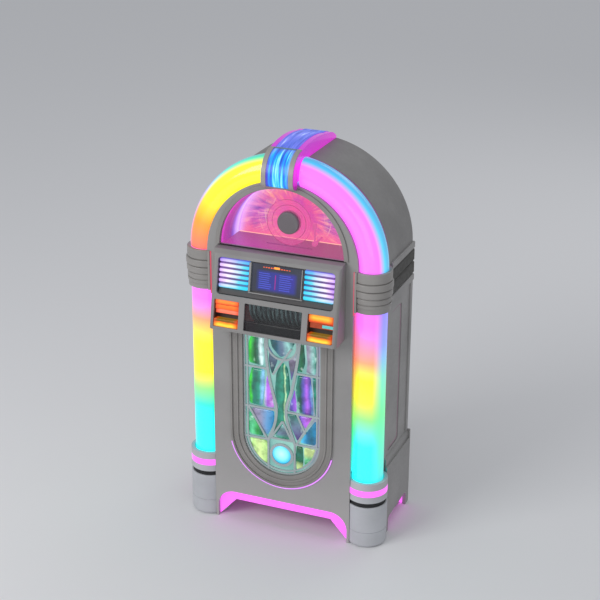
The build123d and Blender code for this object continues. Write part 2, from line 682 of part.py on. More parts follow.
with BuildPart() as grille_came:
    with BuildSketch(facing(CAME_BACK)):
        add(grille_loop(GLASS_HALF - 0.5))
        add(grille_loop(GLASS_HALF - 7), mode=Mode.SUBTRACT)
        add(grille_loop(GLASS_HALF - 13))
        add(grille_loop(GLASS_HALF - 19), mode=Mode.SUBTRACT)
        for start, end in STRAIGHT_LEADS:
            with BuildLine():
                Line(start, end)
            trace(line_width=CAME_WIDTH)
        # The two long leads that draw together in the middle, and the bowl between their tops.
        with BuildLine():
            Spline((-66, 810), (-60, 687), (-40, 587), (-24, 520), (-30, 451), (-57, 378))
        trace(line_width=CAME_WIDTH + 3)
        with BuildLine():
            Spline((71, 810), (54, 676), (36, 590), (16, 508), (33, 431), (52, 378))
        trace(line_width=CAME_WIDTH + 3)
        with BuildLine():
            ThreePointArc((-58, 800), (-8, 722), (58, 800))
        trace(line_width=CAME_WIDTH)
        with Locations((JEWEL_X, JEWEL_Z)):
            Circle(JEWEL_R + 11)
            Circle(JEWEL_R + 0.4, mode=Mode.SUBTRACT)
        add(grille_loop(GLASS_HALF - 0.5), mode=Mode.INTERSECT)
    extrude(amount=CAME_BACK - CAME_FRONT)

with BuildPart() as grille_jewel:
    disc(JEWEL_R, -148, CAME_BACK, JEWEL_X, JEWEL_Z)
    fillet(grille_jewel.edges().group_by(Axis.Y)[0], 5)

# ---- Lenses and light boards ---------------------------------------------------------------------

with BuildPart() as accent_lights:
    # Lens rings in the feet, strips beside the collars, and the lit line under the grille.
    posts(FOOT_R, LENS_LOW + 0.5, LENS_HIGH - 0.5)
    posts(FOOT_R - 3, LENS_LOW, LENS_HIGH, Mode.SUBTRACT)
    pair(PANEL_HALF + 0.5, PANEL_HALF + 4.5, -154, -142, 950, SPRING_Z - 0.5)
    with BuildLine(facing(FRONT_Y - 3.2)) as lit_line:
        CenterArc((0, GRILLE_Z), GRILLE_TRIM_HALF + 4, -166, 152)
    with BuildSketch(Plane(origin=lit_line.line @ 0, z_dir=lit_line.line % 0)):
        Circle(2.6)
    sweep(path=lit_line.line)

with BuildPart() as skirt_lights:
    with BuildSketch(facing(-131)):
        with BuildLine():
            Polyline((-276, 160), (276, 160), (276, 3), (SKIRT_END, 3), (SKIRT_FLAT - 2, 82),
                     (2 - SKIRT_FLAT, 82), (-SKIRT_END, 3), (-276, 3), close=True)
        make_face()
    extrude(amount=8)
    with BuildSketch(Plane.YZ.offset(361)) as side_board:
        with BuildLine():
            Polyline((-5, 118), (232, 118), (232, 3), (214, 3), (180, 45), (-5, 45), close=True)
        make_face()
    extrude(amount=12)
    mirror(extrude(side_board.sketch, amount=12, mode=Mode.PRIVATE), about=Plane.YZ)
    posts(FOOT_CLEAR, 0, RING_HIGH, Mode.SUBTRACT)

# ---- Sound ---------------------------------------------------------------------------------------

BAFFLE_FRONT, BAFFLE_BACK = -118.0, -102.0
WOOFER_Z, WOOFER_R = 440.0, 132.0
MIDRANGES = ((-110.0, 690.0), (110.0, 690.0))
MIDRANGE_R = 48.0

with BuildPart() as speaker_baffle:
    with BuildSketch(facing(BAFFLE_BACK)):
        rect(-245, 245, FLOOR_HIGH, DECK_LOW)
        with Locations((0, WOOFER_Z)):
            Circle(WOOFER_R, mode=Mode.SUBTRACT)
        with Locations(*MIDRANGES):
            Circle(MIDRANGE_R, mode=Mode.SUBTRACT)
    extrude(amount=BAFFLE_BACK - BAFFLE_FRONT)


def speaker(x, z, hole_r):
    """A loudspeaker hung in a hole of the baffle: basket with its magnet, and the cone inside it."""
    wall = 3.0
    deep = 0.5 * hole_r
    rim_r = 1.13 * hole_r
    magnet_r = 0.47 * hole_r
    with BuildPart() as unit:
        with BuildSketch(Plane(origin=(x, BAFFLE_FRONT, z), x_dir=(1, 0, 0), z_dir=(0, 0, 1))):
            with BuildLine():
                Polyline((hole_r - 6, 0), (rim_r, 0), (rim_r, -4), (hole_r - 6, -4), close=True)
            make_face()
            with BuildLine():
                Polyline((hole_r - 5, -1), (hole_r - 2, -1), (magnet_r, deep), (magnet_r, deep + 35),
                         (0, deep + 35), (0, deep + 3), (magnet_r - wall, deep), close=True)
            make_face()
            with BuildLine():
                Polyline((0, deep * 0.55), (hole_r * 0.25, deep * 0.8), (hole_r - 12, 2), (hole_r - 12, 0),
                         (hole_r * 0.25, deep * 0.8 - 3), (0, deep * 0.55 - 2), close=True)
            make_face()
        revolve(axis=Axis((x, 0, z), (0, 1, 0)))
    return unit


with BuildPart() as speakers:
    add(speaker(0, WOOFER_Z, WOOFER_R).part)
    for mid_x, mid_z in MIDRANGES:
        add(speaker(mid_x, mid_z, MIDRANGE_R).part)

with BuildPart() as amplifier:
    prism(-150, 150, 20, 200, FLOOR_HIGH, FLOOR_HIGH + 70)
    fillet(amplifier.edges().filter_by(Axis.Z), 6)
    with Locations((0, 110, FLOOR_HIGH + 70)):
        with GridLocations(24, 1, 11, 1):
            Box(5, 160, 20, align=UP)

# ---- Back door, lock and power -------------------------------------------------------------------

HINGE_HEIGHTS = (420.0, 715.0, 1010.0)
PIN_R, KNUCKLE_R = 2.5, 5.0
LEAF_HALF, KNUCKLE_HALF = 30.0, 9.9

with BuildPart() as back_door:
    with BuildSketch(facing(REAR_Y)):
        rect(-DOOR_HALF, DOOR_HALF, DOOR_LOW, DOOR_HIGH)
        # Vents for the amplifier and the lamps.
        for vent_z in (420, 960):
            with Locations((0, vent_z)):
                with GridLocations(220, 18, 2, 6):
                    SlotOverall(180, 8, mode=Mode.SUBTRACT)
        with Locations((LOCK_X, LOCK_Z)):
            Circle(9.1, mode=Mode.SUBTRACT)
    extrude(amount=BOARD)

with BuildPart() as door_hinges:
    for z in HINGE_HEIGHTS:
        # Leaf on the side panel's rear edge, its two knuckles, and the pin through them.
        prism(-SIDE_X + 2, HINGE_X - 6, REAR_Y, REAR_Y + 2, z - LEAF_HALF, z + LEAF_HALF)
        for low in (z - LEAF_HALF, z + KNUCKLE_HALF + 0.2):
            high = low + LEAF_HALF - KNUCKLE_HALF - 0.2
            prism(HINGE_X - 6, HINGE_X, REAR_Y, REAR_Y + 2, low, high)
            with Locations((HINGE_X, HINGE_Y, low)):
                Cylinder(KNUCKLE_R, high - low, align=UP)
        with Locations((HINGE_X, HINGE_Y, z - LEAF_HALF)):
            Cylinder(PIN_R, 2 * LEAF_HALF, align=UP)
    # Keeper that the lock's cam turns behind.
    prism(DOOR_HALF + 1.5, SIDE_IN, 220, DOOR_FRONT, LOCK_Z - 20, LOCK_Z + 20)

with BuildPart() as door_fittings:
    for z in HINGE_HEIGHTS:
        prism(HINGE_X + 6, HINGE_X + 30, REAR_Y, REAR_Y + 2, z - LEAF_HALF, z + LEAF_HALF)
        prism(HINGE_X, HINGE_X + 6, REAR_Y, REAR_Y + 2, z - KNUCKLE_HALF, z + KNUCKLE_HALF)
        with Locations((HINGE_X, HINGE_Y, z)):
            Cylinder(KNUCKLE_R, 2 * KNUCKLE_HALF)
            Cylinder(PIN_R + RUNNING_CLEARANCE, 2 * KNUCKLE_HALF, mode=Mode.SUBTRACT)
    # Barrel of the lock.
    disc(9, 219, 241, LOCK_X, LOCK_Z)
    disc(12, REAR_Y, 238, LOCK_X, LOCK_Z)
    disc(5 + RUNNING_CLEARANCE, 218, 242, LOCK_X, LOCK_Z, Mode.SUBTRACT)

with BuildPart() as lock_cam:
    disc(5, 214.7, 240.5, LOCK_X, LOCK_Z)
    prism(LOCK_X - 6, LOCK_X + 6, 214.7, 218.7, LOCK_Z - 8, LOCK_Z + 32)
    prism(LOCK_X - 0.6, LOCK_X + 0.6, 239, 241, LOCK_Z - 3.5, LOCK_Z + 3.5, Mode.SUBTRACT)   # keyway

INLET_Z, SWITCH_Z, SWITCH_Y = 200.0, 225.0, 240.0
FLANGE_FACE = 247.0

with BuildPart() as power_inlet:
    body_half, body_low, body_high = INLET_BODY
    prism(INLET_X - body_half, INLET_X + body_half, 221, PLINTH_REAR, body_low, body_high)
    prism(INLET_X - 20, INLET_X + 20, PLINTH_REAR, FLANGE_FACE, body_low - 3, body_high + 3)
    prism(INLET_X - 12.5, INLET_X + 12.5, 225, FLANGE_FACE, INLET_Z - 8.5, INLET_Z + 8.5, Mode.SUBTRACT)
    for pin_x, pin_z in ((-7, -2), (0, 4), (7, -2)):
        x, z = INLET_X + pin_x, INLET_Z + pin_z
        prism(x - 1, x + 1, 225, 239, z - 2, z + 2)
    prism(INLET_X - 10, INLET_X + 10, 232, FLANGE_FACE, SWITCH_Z - 13.5, SWITCH_Z + 13.5, Mode.SUBTRACT)
    with Locations(Location((INLET_X, SWITCH_Y, SWITCH_Z), (0, 90, 0))):
        Cylinder(2 + RUNNING_CLEARANCE, 24, mode=Mode.SUBTRACT)

with BuildPart() as power_switch:
    with Locations(Location((INLET_X, SWITCH_Y, SWITCH_Z), (10, 0, 0))):
        Box(18, 8, 24)
    fillet(power_switch.edges().filter_by(Axis.X), 1)
    with Locations(Location((INLET_X, SWITCH_Y, SWITCH_Z), (0, 90, 0))):
        Cylinder(2, 23)

# ---- Export --------------------------------------------------------------------------------------

pieces = dict(
    front_panel=front_panel, left_side_panel=left_side_panel, right_side_panel=right_side_panel,
    top_shell=top_shell, rear_arch_panel=rear_arch_panel, cabinet_shelves=cabinet_shelves,
    tube_reflectors=tube_reflectors, plinth_boards=plinth_boards, side_bands=side_bands, band_ribs=band_ribs,
    left_foot=left_foot, right_foot=right_foot, foot_spacers=foot_spacers, foot_rings=foot_rings,
    pilaster_tubes=pilaster_tubes, arch_tubes=arch_tubes, left_collar=left_collar, right_collar=right_collar,
    crown_body=crown_body, crown_frame=crown_frame, crown_lens=crown_lens,
    dome_ring=dome_ring, dome_liner=dome_liner, dome_back=dome_back, clear_windows=clear_windows,
    turntable_platter=turntable_platter, playing_record=playing_record, record_clamp=record_clamp,
    turntable_drive=turntable_drive, tonearm=tonearm,
    housing_shell=housing_shell, display_bezel=display_bezel, title_screen=title_screen,
    light_grilles=light_grilles, key_frames=key_frames, credit_display=credit_display,
    key_left_upper=key_left_upper, key_left_lower=key_left_lower,
    key_right_upper=key_right_upper, key_right_lower=key_right_lower,
    records=records, record_rack=record_rack, gripper_rails=gripper_rails, record_gripper=record_gripper,
    grille_trim=grille_trim, grille_glass=grille_glass, grille_came=grille_came, grille_jewel=grille_jewel,
    accent_lights=accent_lights, skirt_lights=skirt_lights,
    speaker_baffle=speaker_baffle, speakers=speakers, amplifier=amplifier,
    back_door=back_door, door_hinges=door_hinges, door_fittings=door_fittings, lock_cam=lock_cam,
    power_inlet=power_inlet, power_switch=power_switch,
)

for name, piece in pieces.items():
    piece.part.label = name
    export_step(piece.part, f"parts/{name}.step")
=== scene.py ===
import math
import random

import bmesh
import bpy
from mathutils import Matrix, Vector


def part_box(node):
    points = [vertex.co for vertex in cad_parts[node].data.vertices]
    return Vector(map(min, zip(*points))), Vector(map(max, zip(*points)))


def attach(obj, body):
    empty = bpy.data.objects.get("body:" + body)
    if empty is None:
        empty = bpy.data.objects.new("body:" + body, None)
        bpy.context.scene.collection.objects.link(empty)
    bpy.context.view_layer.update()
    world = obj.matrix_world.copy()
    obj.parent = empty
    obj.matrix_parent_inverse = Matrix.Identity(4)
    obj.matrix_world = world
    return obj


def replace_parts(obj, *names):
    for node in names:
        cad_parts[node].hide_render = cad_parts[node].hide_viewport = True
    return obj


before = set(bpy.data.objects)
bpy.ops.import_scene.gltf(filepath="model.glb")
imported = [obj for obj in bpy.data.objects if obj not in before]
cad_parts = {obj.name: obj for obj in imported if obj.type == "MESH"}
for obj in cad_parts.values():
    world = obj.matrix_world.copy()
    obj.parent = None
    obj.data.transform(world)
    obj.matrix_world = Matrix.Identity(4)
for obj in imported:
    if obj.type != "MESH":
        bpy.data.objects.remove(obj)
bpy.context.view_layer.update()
scene = bpy.context.scene
MM = 0.001

# ---- Camera ----

AZIMUTH, ELEVATION, ROLL = math.radians(22.13), math.radians(22.3), math.radians(0.225)
AIM = Vector((-0.0193, 0.078, 0.876))
DISTANCE = 5.5097
LENS, SENSOR_WIDTH = 86.5, 36


def make_camera():
    """The camera at the photo's angle, turned a little about its own axis."""
    back = Vector((math.sin(AZIMUTH) * math.cos(ELEVATION), -math.cos(AZIMUTH) * math.cos(ELEVATION),
                   math.sin(ELEVATION)))
    right = Vector((math.cos(AZIMUTH), math.sin(AZIMUTH), 0))
    up = back.cross(right)
    turned_right = math.cos(ROLL) * right + math.sin(ROLL) * up
    turned_up = math.cos(ROLL) * up - math.sin(ROLL) * right
    camera = bpy.data.objects.new("camera", bpy.data.cameras.new("camera"))
    axes = Matrix((turned_right, turned_up, back)).transposed().to_4x4()
    camera.matrix_world = Matrix.Translation(AIM + back * DISTANCE) @ axes
    camera.data.lens = LENS
    camera.data.sensor_width = SENSOR_WIDTH
    scene.collection.objects.link(camera)
    scene.camera = camera


make_camera()

# ---- Material helpers ----


class Graph:
    """A material's node tree, with short ways to add the nodes used here."""

    def __init__(self, name):
        self.material = bpy.data.materials.new(name)
        self.material.use_nodes = True
        self.nodes = self.material.node_tree.nodes
        self.links = self.material.node_tree.links
        self.shader = self.nodes["Principled BSDF"]
        self.place = self.add("ShaderNodeTexCoord").outputs["Object"]
        split = self.add("ShaderNodeSeparateXYZ")
        self.links.new(self.place, split.inputs[0])
        self.x, self.y, self.z = split.outputs

    def add(self, kind, **settings):
        """A new node, with its settings."""
        node = self.nodes.new(kind)
        for key, value in settings.items():
            setattr(node, key, value)
        return node

    def put(self, value, socket):
        """Sets a socket to a number or a colour, or links it to another socket."""
        if isinstance(value, bpy.types.NodeSocket):
            self.links.new(value, socket)
        else:
            socket.default_value = value

    def math(self, operation, a, b=0.0):
        node = self.add("ShaderNodeMath", operation=operation)
        self.put(a, node.inputs[0])
        self.put(b, node.inputs[1])
        return node.outputs[0]

    def plus(self, a, b):
        return self.math("ADD", a, b)

    def minus(self, a, b):
        return self.math("SUBTRACT", a, b)

    def times(self, a, b):
        return self.math("MULTIPLY", a, b)

    def under(self, value, limit):
        return self.math("LESS_THAN", value, limit)

    def over(self, value, limit):
        return self.math("GREATER_THAN", value, limit)

    def size(self, value):
        """The value without its sign."""
        return self.math("ABSOLUTE", value)

    def reach(self, a, b):
        """Distance from an axis, from the distances a and b along the two axes across it."""
        return self.math("SQRT", self.plus(self.math("POWER", a, 2.0), self.math("POWER", b, 2.0)))

    def scaled(self, value, low, high):
        """0 at low and 1 at high, clamped."""
        node = self.add("ShaderNodeMapRange")
        self.put(value, node.inputs["Value"])
        node.inputs["From Min"].default_value = low
        node.inputs["From Max"].default_value = high
        return node.outputs["Result"]

    def stretched(self, scale):
        """The place with each axis scaled, for a texture drawn out along one of them."""
        node = self.add("ShaderNodeMapping")
        node.inputs["Scale"].default_value = scale
        self.put(self.place, node.inputs["Vector"])
        return node.outputs[0]

    def noise(self, scale, detail=4.0, where=None):
        """Soft noise from 0 to 1."""
        node = self.add("ShaderNodeTexNoise")
        self.put(where or self.place, node.inputs["Vector"])
        node.inputs["Scale"].default_value = scale
        node.inputs["Detail"].default_value = detail
        return node.outputs["Fac"]

    def ramp(self, value, stops):
        """A colour ramp: stops are (position, colour)."""
        node = self.add("ShaderNodeValToRGB")
        elements = node.color_ramp.elements
        while len(elements) < len(stops):
            elements.new(0.5)
        for element, (position, colour) in zip(elements, stops):
            element.position = position
            element.color = (*colour, 1)
        self.put(value, node.inputs[0])
        return node.outputs["Color"]

    def shades(self, value, *stops):
        """A ramp of display colours: stops are (position, red, green, blue)."""
        return self.ramp(value, [(position, seen(*colour)) for position, *colour in stops])

    def mask(self, value, *stops):
        """A ramp of greys: stops are (position, level)."""
        return self.ramp(value, [(position, (level,) * 3) for position, level in stops])

    def mix(self, factor, a, b):
        """Colour a where the factor is 0, and b where it is 1."""
        node = self.add("ShaderNodeMix", data_type="RGBA")
        self.put(factor, node.inputs["Factor"])
        self.put(a if isinstance(a, bpy.types.NodeSocket) else (*a, 1), node.inputs["A"])
        self.put(b if isinstance(b, bpy.types.NodeSocket) else (*b, 1), node.inputs["B"])
        return node.outputs["Result"]

    def multiply(self, a, b):
        """Colour a darkened by colour b."""
        node = self.add("ShaderNodeMix", data_type="RGBA", blend_type="MULTIPLY")
        node.inputs["Factor"].default_value = 1.0
        self.put(a, node.inputs["A"])
        self.put(b, node.inputs["B"])
        return node.outputs["Result"]

    def bump(self, height, strength, distance):
        """Relief from a height, up to distance metres deep."""
        node = self.add("ShaderNodeBump")
        node.inputs["Strength"].default_value = strength
        node.inputs["Distance"].default_value = distance
        self.put(height, node.inputs["Height"])
        self.put(node.outputs[0], self.shader.inputs["Normal"])

    def ripple(self, strength):
        """The fine ripple of a sprayed coat."""
        self.bump(self.noise(420.0, 3.0), strength, 0.0006)

    def glow(self, colour, strength):
        self.put(colour, self.shader.inputs["Emission Color"])
        self.shader.inputs["Emission Strength"].default_value = strength

    def set(self, **inputs):
        """Sets inputs of the surface, named with underscores."""
        for key, value in inputs.items():
            self.put(value, self.shader.inputs[key.replace("_", " ")])

    def light_up(self, colour, strength, dark, **inputs):
        """Light from inside, over the same colour mixed with that much black."""
        self.set(Base_Color=self.mix(dark, colour, BLACK), **inputs)
        self.glow(colour, strength)


# The second colour is a near-black used as painted shade inside the housing and round the hole behind it.
BLACK, SHADE_BLACK = (0.0, 0.0, 0.0), (0.006, 0.006, 0.007)
# The feet's grey is lighter than the cabinet's; part of that lightness is painted light on the cabinet's low
# parts.
BODY_GREY, LIT_FOOT_GREY, TRIM_GREY = (0.30, 0.292, 0.286), (0.48, 0.49, 0.515), (0.262, 0.250, 0.238)
PAINT_GRAIN, MOTTLE = 0.15, 0.12


def tone(colour, factor):
    """The colour, made lighter or darker."""
    return tuple(channel * factor for channel in colour)


def seen(red, green, blue):
    """The linear colour that is seen as this 0-255 display colour."""
    return tuple((channel / 255) ** 2.2 for channel in (red, green, blue))


def mottled(g, colour, low, high):
    """Soft patches between a darker and a lighter tone of a colour."""
    return g.ramp(g.noise(6.0, 6.0), ((0.3, tone(colour, low)), (0.7, tone(colour, high))))


def paint(name, colour, roughness, grain=PAINT_GRAIN, metallic=0.0):
    """Satin paint: a little mottling, uneven gloss and a fine ripple."""
    g = Graph(name)
    g.set(Base_Color=mottled(g, colour, 1 - MOTTLE, 1 + MOTTLE), Metallic=metallic,
          Roughness=g.mask(g.noise(90.0, 5.0), (0.3, roughness - 0.07), (0.7, roughness + 0.09)))
    g.ripple(grain)
    return g.material


def dress(material, *nodes):
    """Gives CAD nodes a material, in place of the one they were packed with."""
    for name in nodes:
        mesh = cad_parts[name].data
        mesh.materials.clear()
        mesh.materials.append(material)
        for polygon in mesh.polygons:
            polygon.material_index = 0


def level(node, part):
    """A height within a CAD node: 0 at its foot and 1 at its top."""
    low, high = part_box(node)
    return low.z + (high.z - low.z) * part


# The hole behind the housing, and the heights between which painted light makes the front's paint grow
# lighter towards the floor.
HOLE_HALF_WIDTH = 0.2355
PAINTED_LIGHT_LOW, PAINTED_LIGHT_HIGH = 0.10, 0.60


def front_material():
    """The cabinet's paint, made lighter towards the floor by painted light, and painted shade in black round
    the hole behind the housing.
    """
    g = Graph("front_paint")
    grey = mottled(g, BODY_GREY, 0.92, 1.08)
    low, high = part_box("housing_shell")
    # Painted shade: the sides of the hole behind the housing are painted near-black.
    wide = g.under(g.size(g.x), HOLE_HALF_WIDTH)
    above = g.over(g.z, low.z)
    below = g.under(g.z, high.z - 0.015)
    behind = g.over(g.y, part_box("front_panel")[0].y + 0.0002)
    edge = g.times(g.times(wide, behind), g.times(above, below))
    # Painted light: the paint grows lighter towards the floor.
    painted_light_grey = g.ramp(g.scaled(g.z, PAINTED_LIGHT_LOW, PAINTED_LIGHT_HIGH), ((0.0, tone(BODY_GREY, 1.42)), (1.0, BODY_GREY)))
    grey = g.mix(g.times(g.scaled(g.z, PAINTED_LIGHT_HIGH, PAINTED_LIGHT_LOW), 0.8), grey, painted_light_grey)
    g.set(Base_Color=g.mix(edge, grey, SHADE_BLACK), Roughness=0.48)
    g.ripple(PAINT_GRAIN)
    return g.material


dress(paint("body_paint", BODY_GREY, 0.48), "left_side_panel", "right_side_panel", "plinth_boards",
      "side_bands")
dress(front_material(), "front_panel")
dress(paint("shell_paint", tone(BODY_GREY, 0.86), 0.62), "top_shell")
# The feet's paint is partly painted light: a lighter grey than the cabinet's.
dress(paint("foot_paint", LIT_FOOT_GREY, 0.46), "left_foot", "right_foot", "foot_rings")
dress(paint("trim_paint", TRIM_GREY, 0.40), "dome_ring", "grille_trim")
dress(paint("collar_paint", tone(TRIM_GREY, 1.12), 0.38), "left_collar", "right_collar")
dress(paint("crown_paint", tone(TRIM_GREY, 1.35), 0.36), "crown_frame")
dress(paint("dark_trim", (0.032, 0.030, 0.024), 0.5), "band_ribs")
dress(paint("bezel_plastic", (0.080, 0.074, 0.074), 0.5), "display_bezel")
dress(paint("niche_plastic", (0.040, 0.036, 0.034), 0.55), "key_frames")
dress(paint("black_plastic", (0.014, 0.014, 0.015), 0.5), "power_inlet", "power_switch")
dress(paint("rack_flock", (0.0035, 0.0035, 0.004), 0.95), "record_rack")
dress(paint("rubber", (0.016, 0.016, 0.018), 0.75, grain=0.4), "foot_spacers")
dress(paint("hub_grey", (0.13, 0.12, 0.125), 0.5), "turntable_platter", "record_clamp")
dress(paint("leading", (0.40, 0.47, 0.48), 0.32, metallic=0.1), "grille_came")
dress(paint("speaker_paper", (0.02, 0.02, 0.022), 0.9, grain=0.6), "speakers")
dress(paint("white_board", (0.75, 0.75, 0.73), 0.6), "tube_reflectors")
dress(paint("steel", (0.52, 0.52, 0.53), 0.3, metallic=0.9), "gripper_rails")
dress(paint("cast_alloy", (0.42, 0.42, 0.43), 0.45, metallic=0.8), "record_gripper", "amplifier")
dress(paint("zinc", (0.58, 0.56, 0.50), 0.34, metallic=0.95), "door_hinges", "door_fittings", "lock_cam")


def stained_board(name, dark, light):
    """Board with a stretched grain that runs up it."""
    g = Graph(name)
    grain = g.noise(1.0, 8.0, g.stretched((60, 60, 3)))
    g.set(Base_Color=g.ramp(grain, ((0.35, dark), (0.65, light))), Roughness=0.62)
    g.bump(grain, 0.25, 0.0008)
    return g.material


dress(stained_board("back_board", (0.035, 0.031, 0.028), (0.075, 0.068, 0.062)), "rear_arch_panel",
      "back_door")
dress(stained_board("shelf_board", (0.16, 0.11, 0.07), (0.28, 0.20, 0.13)), "cabinet_shelves",
      "speaker_baffle")

# ---- Lit tubes ----

PINK, SALMON, ORANGE, YELLOW = (1.0, 0.16, 1.0), (1.0, 0.14, 0.10), (1.0, 0.28, 0.03), (1.0, 0.90, 0.03)
AQUA, CYAN = (0.03, 0.95, 0.55), (0.03, 0.95, 1.0)
LIGHT_GREEN, LIME_YELLOW, PEACH = (0.25, 1.0, 0.22), (0.75, 1.0, 0.06), (1.0, 0.32, 0.16)
# Heights at which the straight tubes begin and end, and their reach from the middle of the cabinet.
TUBE_LOW, TUBE_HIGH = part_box("foot_rings")[1].z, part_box("left_collar")[0].z
TUBE_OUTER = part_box("pilaster_tubes")[1].x
TUBE_RADIUS = 0.059
TUBE_INNER = TUBE_OUTER - 2 * TUBE_RADIUS
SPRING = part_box("top_shell")[0].z


def tube_surface(g, colour):
    """Moulded acrylic, lit from inside: a glossy skin over a coloured glow."""
    g.light_up(colour, 0.92, 0.25, Roughness=0.16, Coat_Weight=0.5, Coat_Roughness=0.08)
    g.bump(g.noise(30.0, 2.0), 0.06, 0.002)
    return g.material


def pilaster_material():
    """Straight tubes: cyan at the foot, through green and yellow, to pink."""
    g = Graph("pilaster_glow")
    wobble = g.times(g.noise(5.0, 2.0), 0.07)
    height = g.plus(g.scaled(g.z, TUBE_LOW, TUBE_HIGH), g.minus(wobble, 0.035))
    right = g.ramp(height, ((0.0, CYAN), (0.22, CYAN), (0.37, LIGHT_GREEN), (0.47, LIME_YELLOW),
                            (0.60, YELLOW), (0.71, PEACH), (0.84, (1.0, 0.22, 0.55)), (0.93, PINK)))
    left = g.ramp(height, ((0.0, CYAN), (0.19, CYAN), (0.30, AQUA), (0.40, LIGHT_GREEN), (0.50, YELLOW),
                           (0.68, YELLOW), (0.82, PEACH), (0.93, PINK), (1.0, PINK)))
    side = g.over(g.x, 0.0)
    main = g.mix(side, left, right)
    across = g.scaled(g.size(g.x), TUBE_INNER, TUBE_OUTER)
    outer_colour = g.shades(height, (0.0, 70, 215, 215), (0.40, 110, 235, 150), (0.62, 120, 215, 190),
                            (0.82, 130, 150, 240), (1.0, 140, 130, 255))
    inner_colour = g.ramp(height, ((0.0, CYAN), (0.28, seen(90, 240, 140)), (0.48, seen(225, 205, 80)),
                                   (0.68, seen(220, 135, 100)), (0.9, seen(220, 100, 150))))
    outer_part = g.times(g.mask(across, (0.74, 0), (0.96, 1)), side)
    inner_part = g.times(g.mask(across, (0.0, 0.9), (0.28, 0)), side)
    return tube_surface(g, g.mix(inner_part, g.mix(outer_part, main, outer_colour), inner_colour))


def arch_material():
    """Bent tubes: pink on the right, yellow to orange on the left, and a cool outer edge, darkened at the
    very rim as painted shade.
    """
    g = Graph("arch_glow")
    rise = g.minus(g.z, SPRING)
    turn = g.math("DIVIDE", g.math("ARCTAN2", rise, g.x), math.pi)
    across = g.scaled(g.reach(rise, g.x), TUBE_INNER, TUBE_OUTER)
    main = g.ramp(turn, ((0.0, PINK), (0.46, PINK), (0.52, YELLOW), (0.76, YELLOW), (0.90, ORANGE),
                         (1.0, SALMON)))
    edge = g.shades(turn, (0.0, 90, 200, 236), (0.40, 66, 170, 222), (0.56, 60, 205, 150),
                    (0.70, 80, 215, 190), (0.80, 150, 160, 240), (1.0, 240, 130, 200))
    inner = g.ramp(turn, ((0.0, PINK), (0.46, PINK), (0.54, ORANGE), (0.8, ORANGE), (1.0, SALMON)))
    edged = g.mix(g.mask(across, (0.84, 0), (0.96, 1)), main, edge)
    colour = g.mix(g.mask(across, (0.0, 0.8), (0.22, 0)), edged, inner)
    # Painted shade: the outermost rim of the tube is darkened to a dull blue.
    rim = g.mask(across, (0.96, 0), (1.0, 0.5))
    return tube_surface(g, g.mix(rim, colour, seen(60, 120, 170)))


dress(pilaster_material(), "pilaster_tubes")
dress(arch_material(), "arch_tubes")


def lens(name, colour, strength=0.95, roughness=0.25):
    """A small lit lens with slightly uneven light."""
    g = Graph(name)
    uneven = g.ramp(g.noise(14.0, 2.0), ((0.3, tone(colour, 0.85)), (0.7, colour)))
    g.set(Base_Color=(*tone(colour, 0.6), 1), Roughness=roughness, Coat_Weight=0.3)
    g.glow(uneven, strength)
    return g.material


NEON_PINK = seen(255, 108, 252)


def accent_material():
    """Pink lenses: lilac in the line under the grille, pink in the feet, red beside the collars."""
    g = Graph("accent_glow")
    high = g.over(g.z, 0.9)
    inside = g.under(g.size(g.x), 0.24)
    colour = g.mix(inside, seen(250, 112, 245), seen(222, 140, 250))
    colour = g.mix(high, colour, seen(196, 76, 96))
    g.light_up(colour, 0.95, 0.5, Roughness=0.2, Coat_Weight=0.3)
    return g.material


dress(accent_material(), "accent_lights")
dress(lens("skirt_glow", NEON_PINK, 1.0), "skirt_lights")

# ---- Crown ----


def crown_material():
    """Magenta acrylic, deeper towards the foot of each cheek and violet towards the back."""
    g = Graph("crown_plastic")
    height = g.scaled(g.z, level("crown_body", 0.1), level("crown_body", 0.95))
    colour = g.shades(height, (0.0, 160, 26, 150), (0.6, 220, 46, 208), (1.0, 190, 48, 196))
    g.light_up(colour, 0.72, 0.4, Roughness=0.25, Coat_Weight=0.4)
    return g.material


def crown_lens_material():
    """Blue pressed glass with streaks down it, and a violet field behind its cross joint."""
    g = Graph("crown_glass")
    streak = g.noise(1.0, 6.0, g.stretched((95, 7, 7)))
    front = g.shades(streak, (0.30, 40, 70, 190), (0.44, 45, 120, 235), (0.54, 30, 185, 255),
                     (0.66, 150, 240, 255), (0.74, 225, 250, 255))
    top = g.shades(streak, (0.30, 70, 70, 165), (0.46, 80, 105, 215), (0.58, 110, 120, 235),
                   (0.74, 190, 215, 255))
    back = g.scaled(g.y, -0.15, -0.10)
    colour = g.mix(back, front, top)
    side = g.size(g.math("DIVIDE", g.x, LENS_EDGE))
    colour = g.mix(g.mask(side, (0.72, 0), (1.0, 0.7)), colour, seen(90, 70, 205))
    g.light_up(colour, 0.76, 0.5, Roughness=0.34)
    g.bump(streak, 0.5, 0.003)
    return g.material


LENS_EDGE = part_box("crown_lens")[1].x
dress(crown_material(), "crown_body")
dress(crown_lens_material(), "crown_lens")

# ---- Dome ----

DOME_CENTRE = 1.148
TURN_CENTRE = sum(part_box("playing_record"), Vector()).z / 2


def around_turntable(g):
    """Distance from the turntable's axis, and the angle round it."""
    rise = g.minus(g.z, TURN_CENTRE)
    return g.reach(rise, g.x), g.math("ARCTAN2", rise, g.x)


SPOKES, HOOPS = 56, (0.104, 0.132, 0.158)


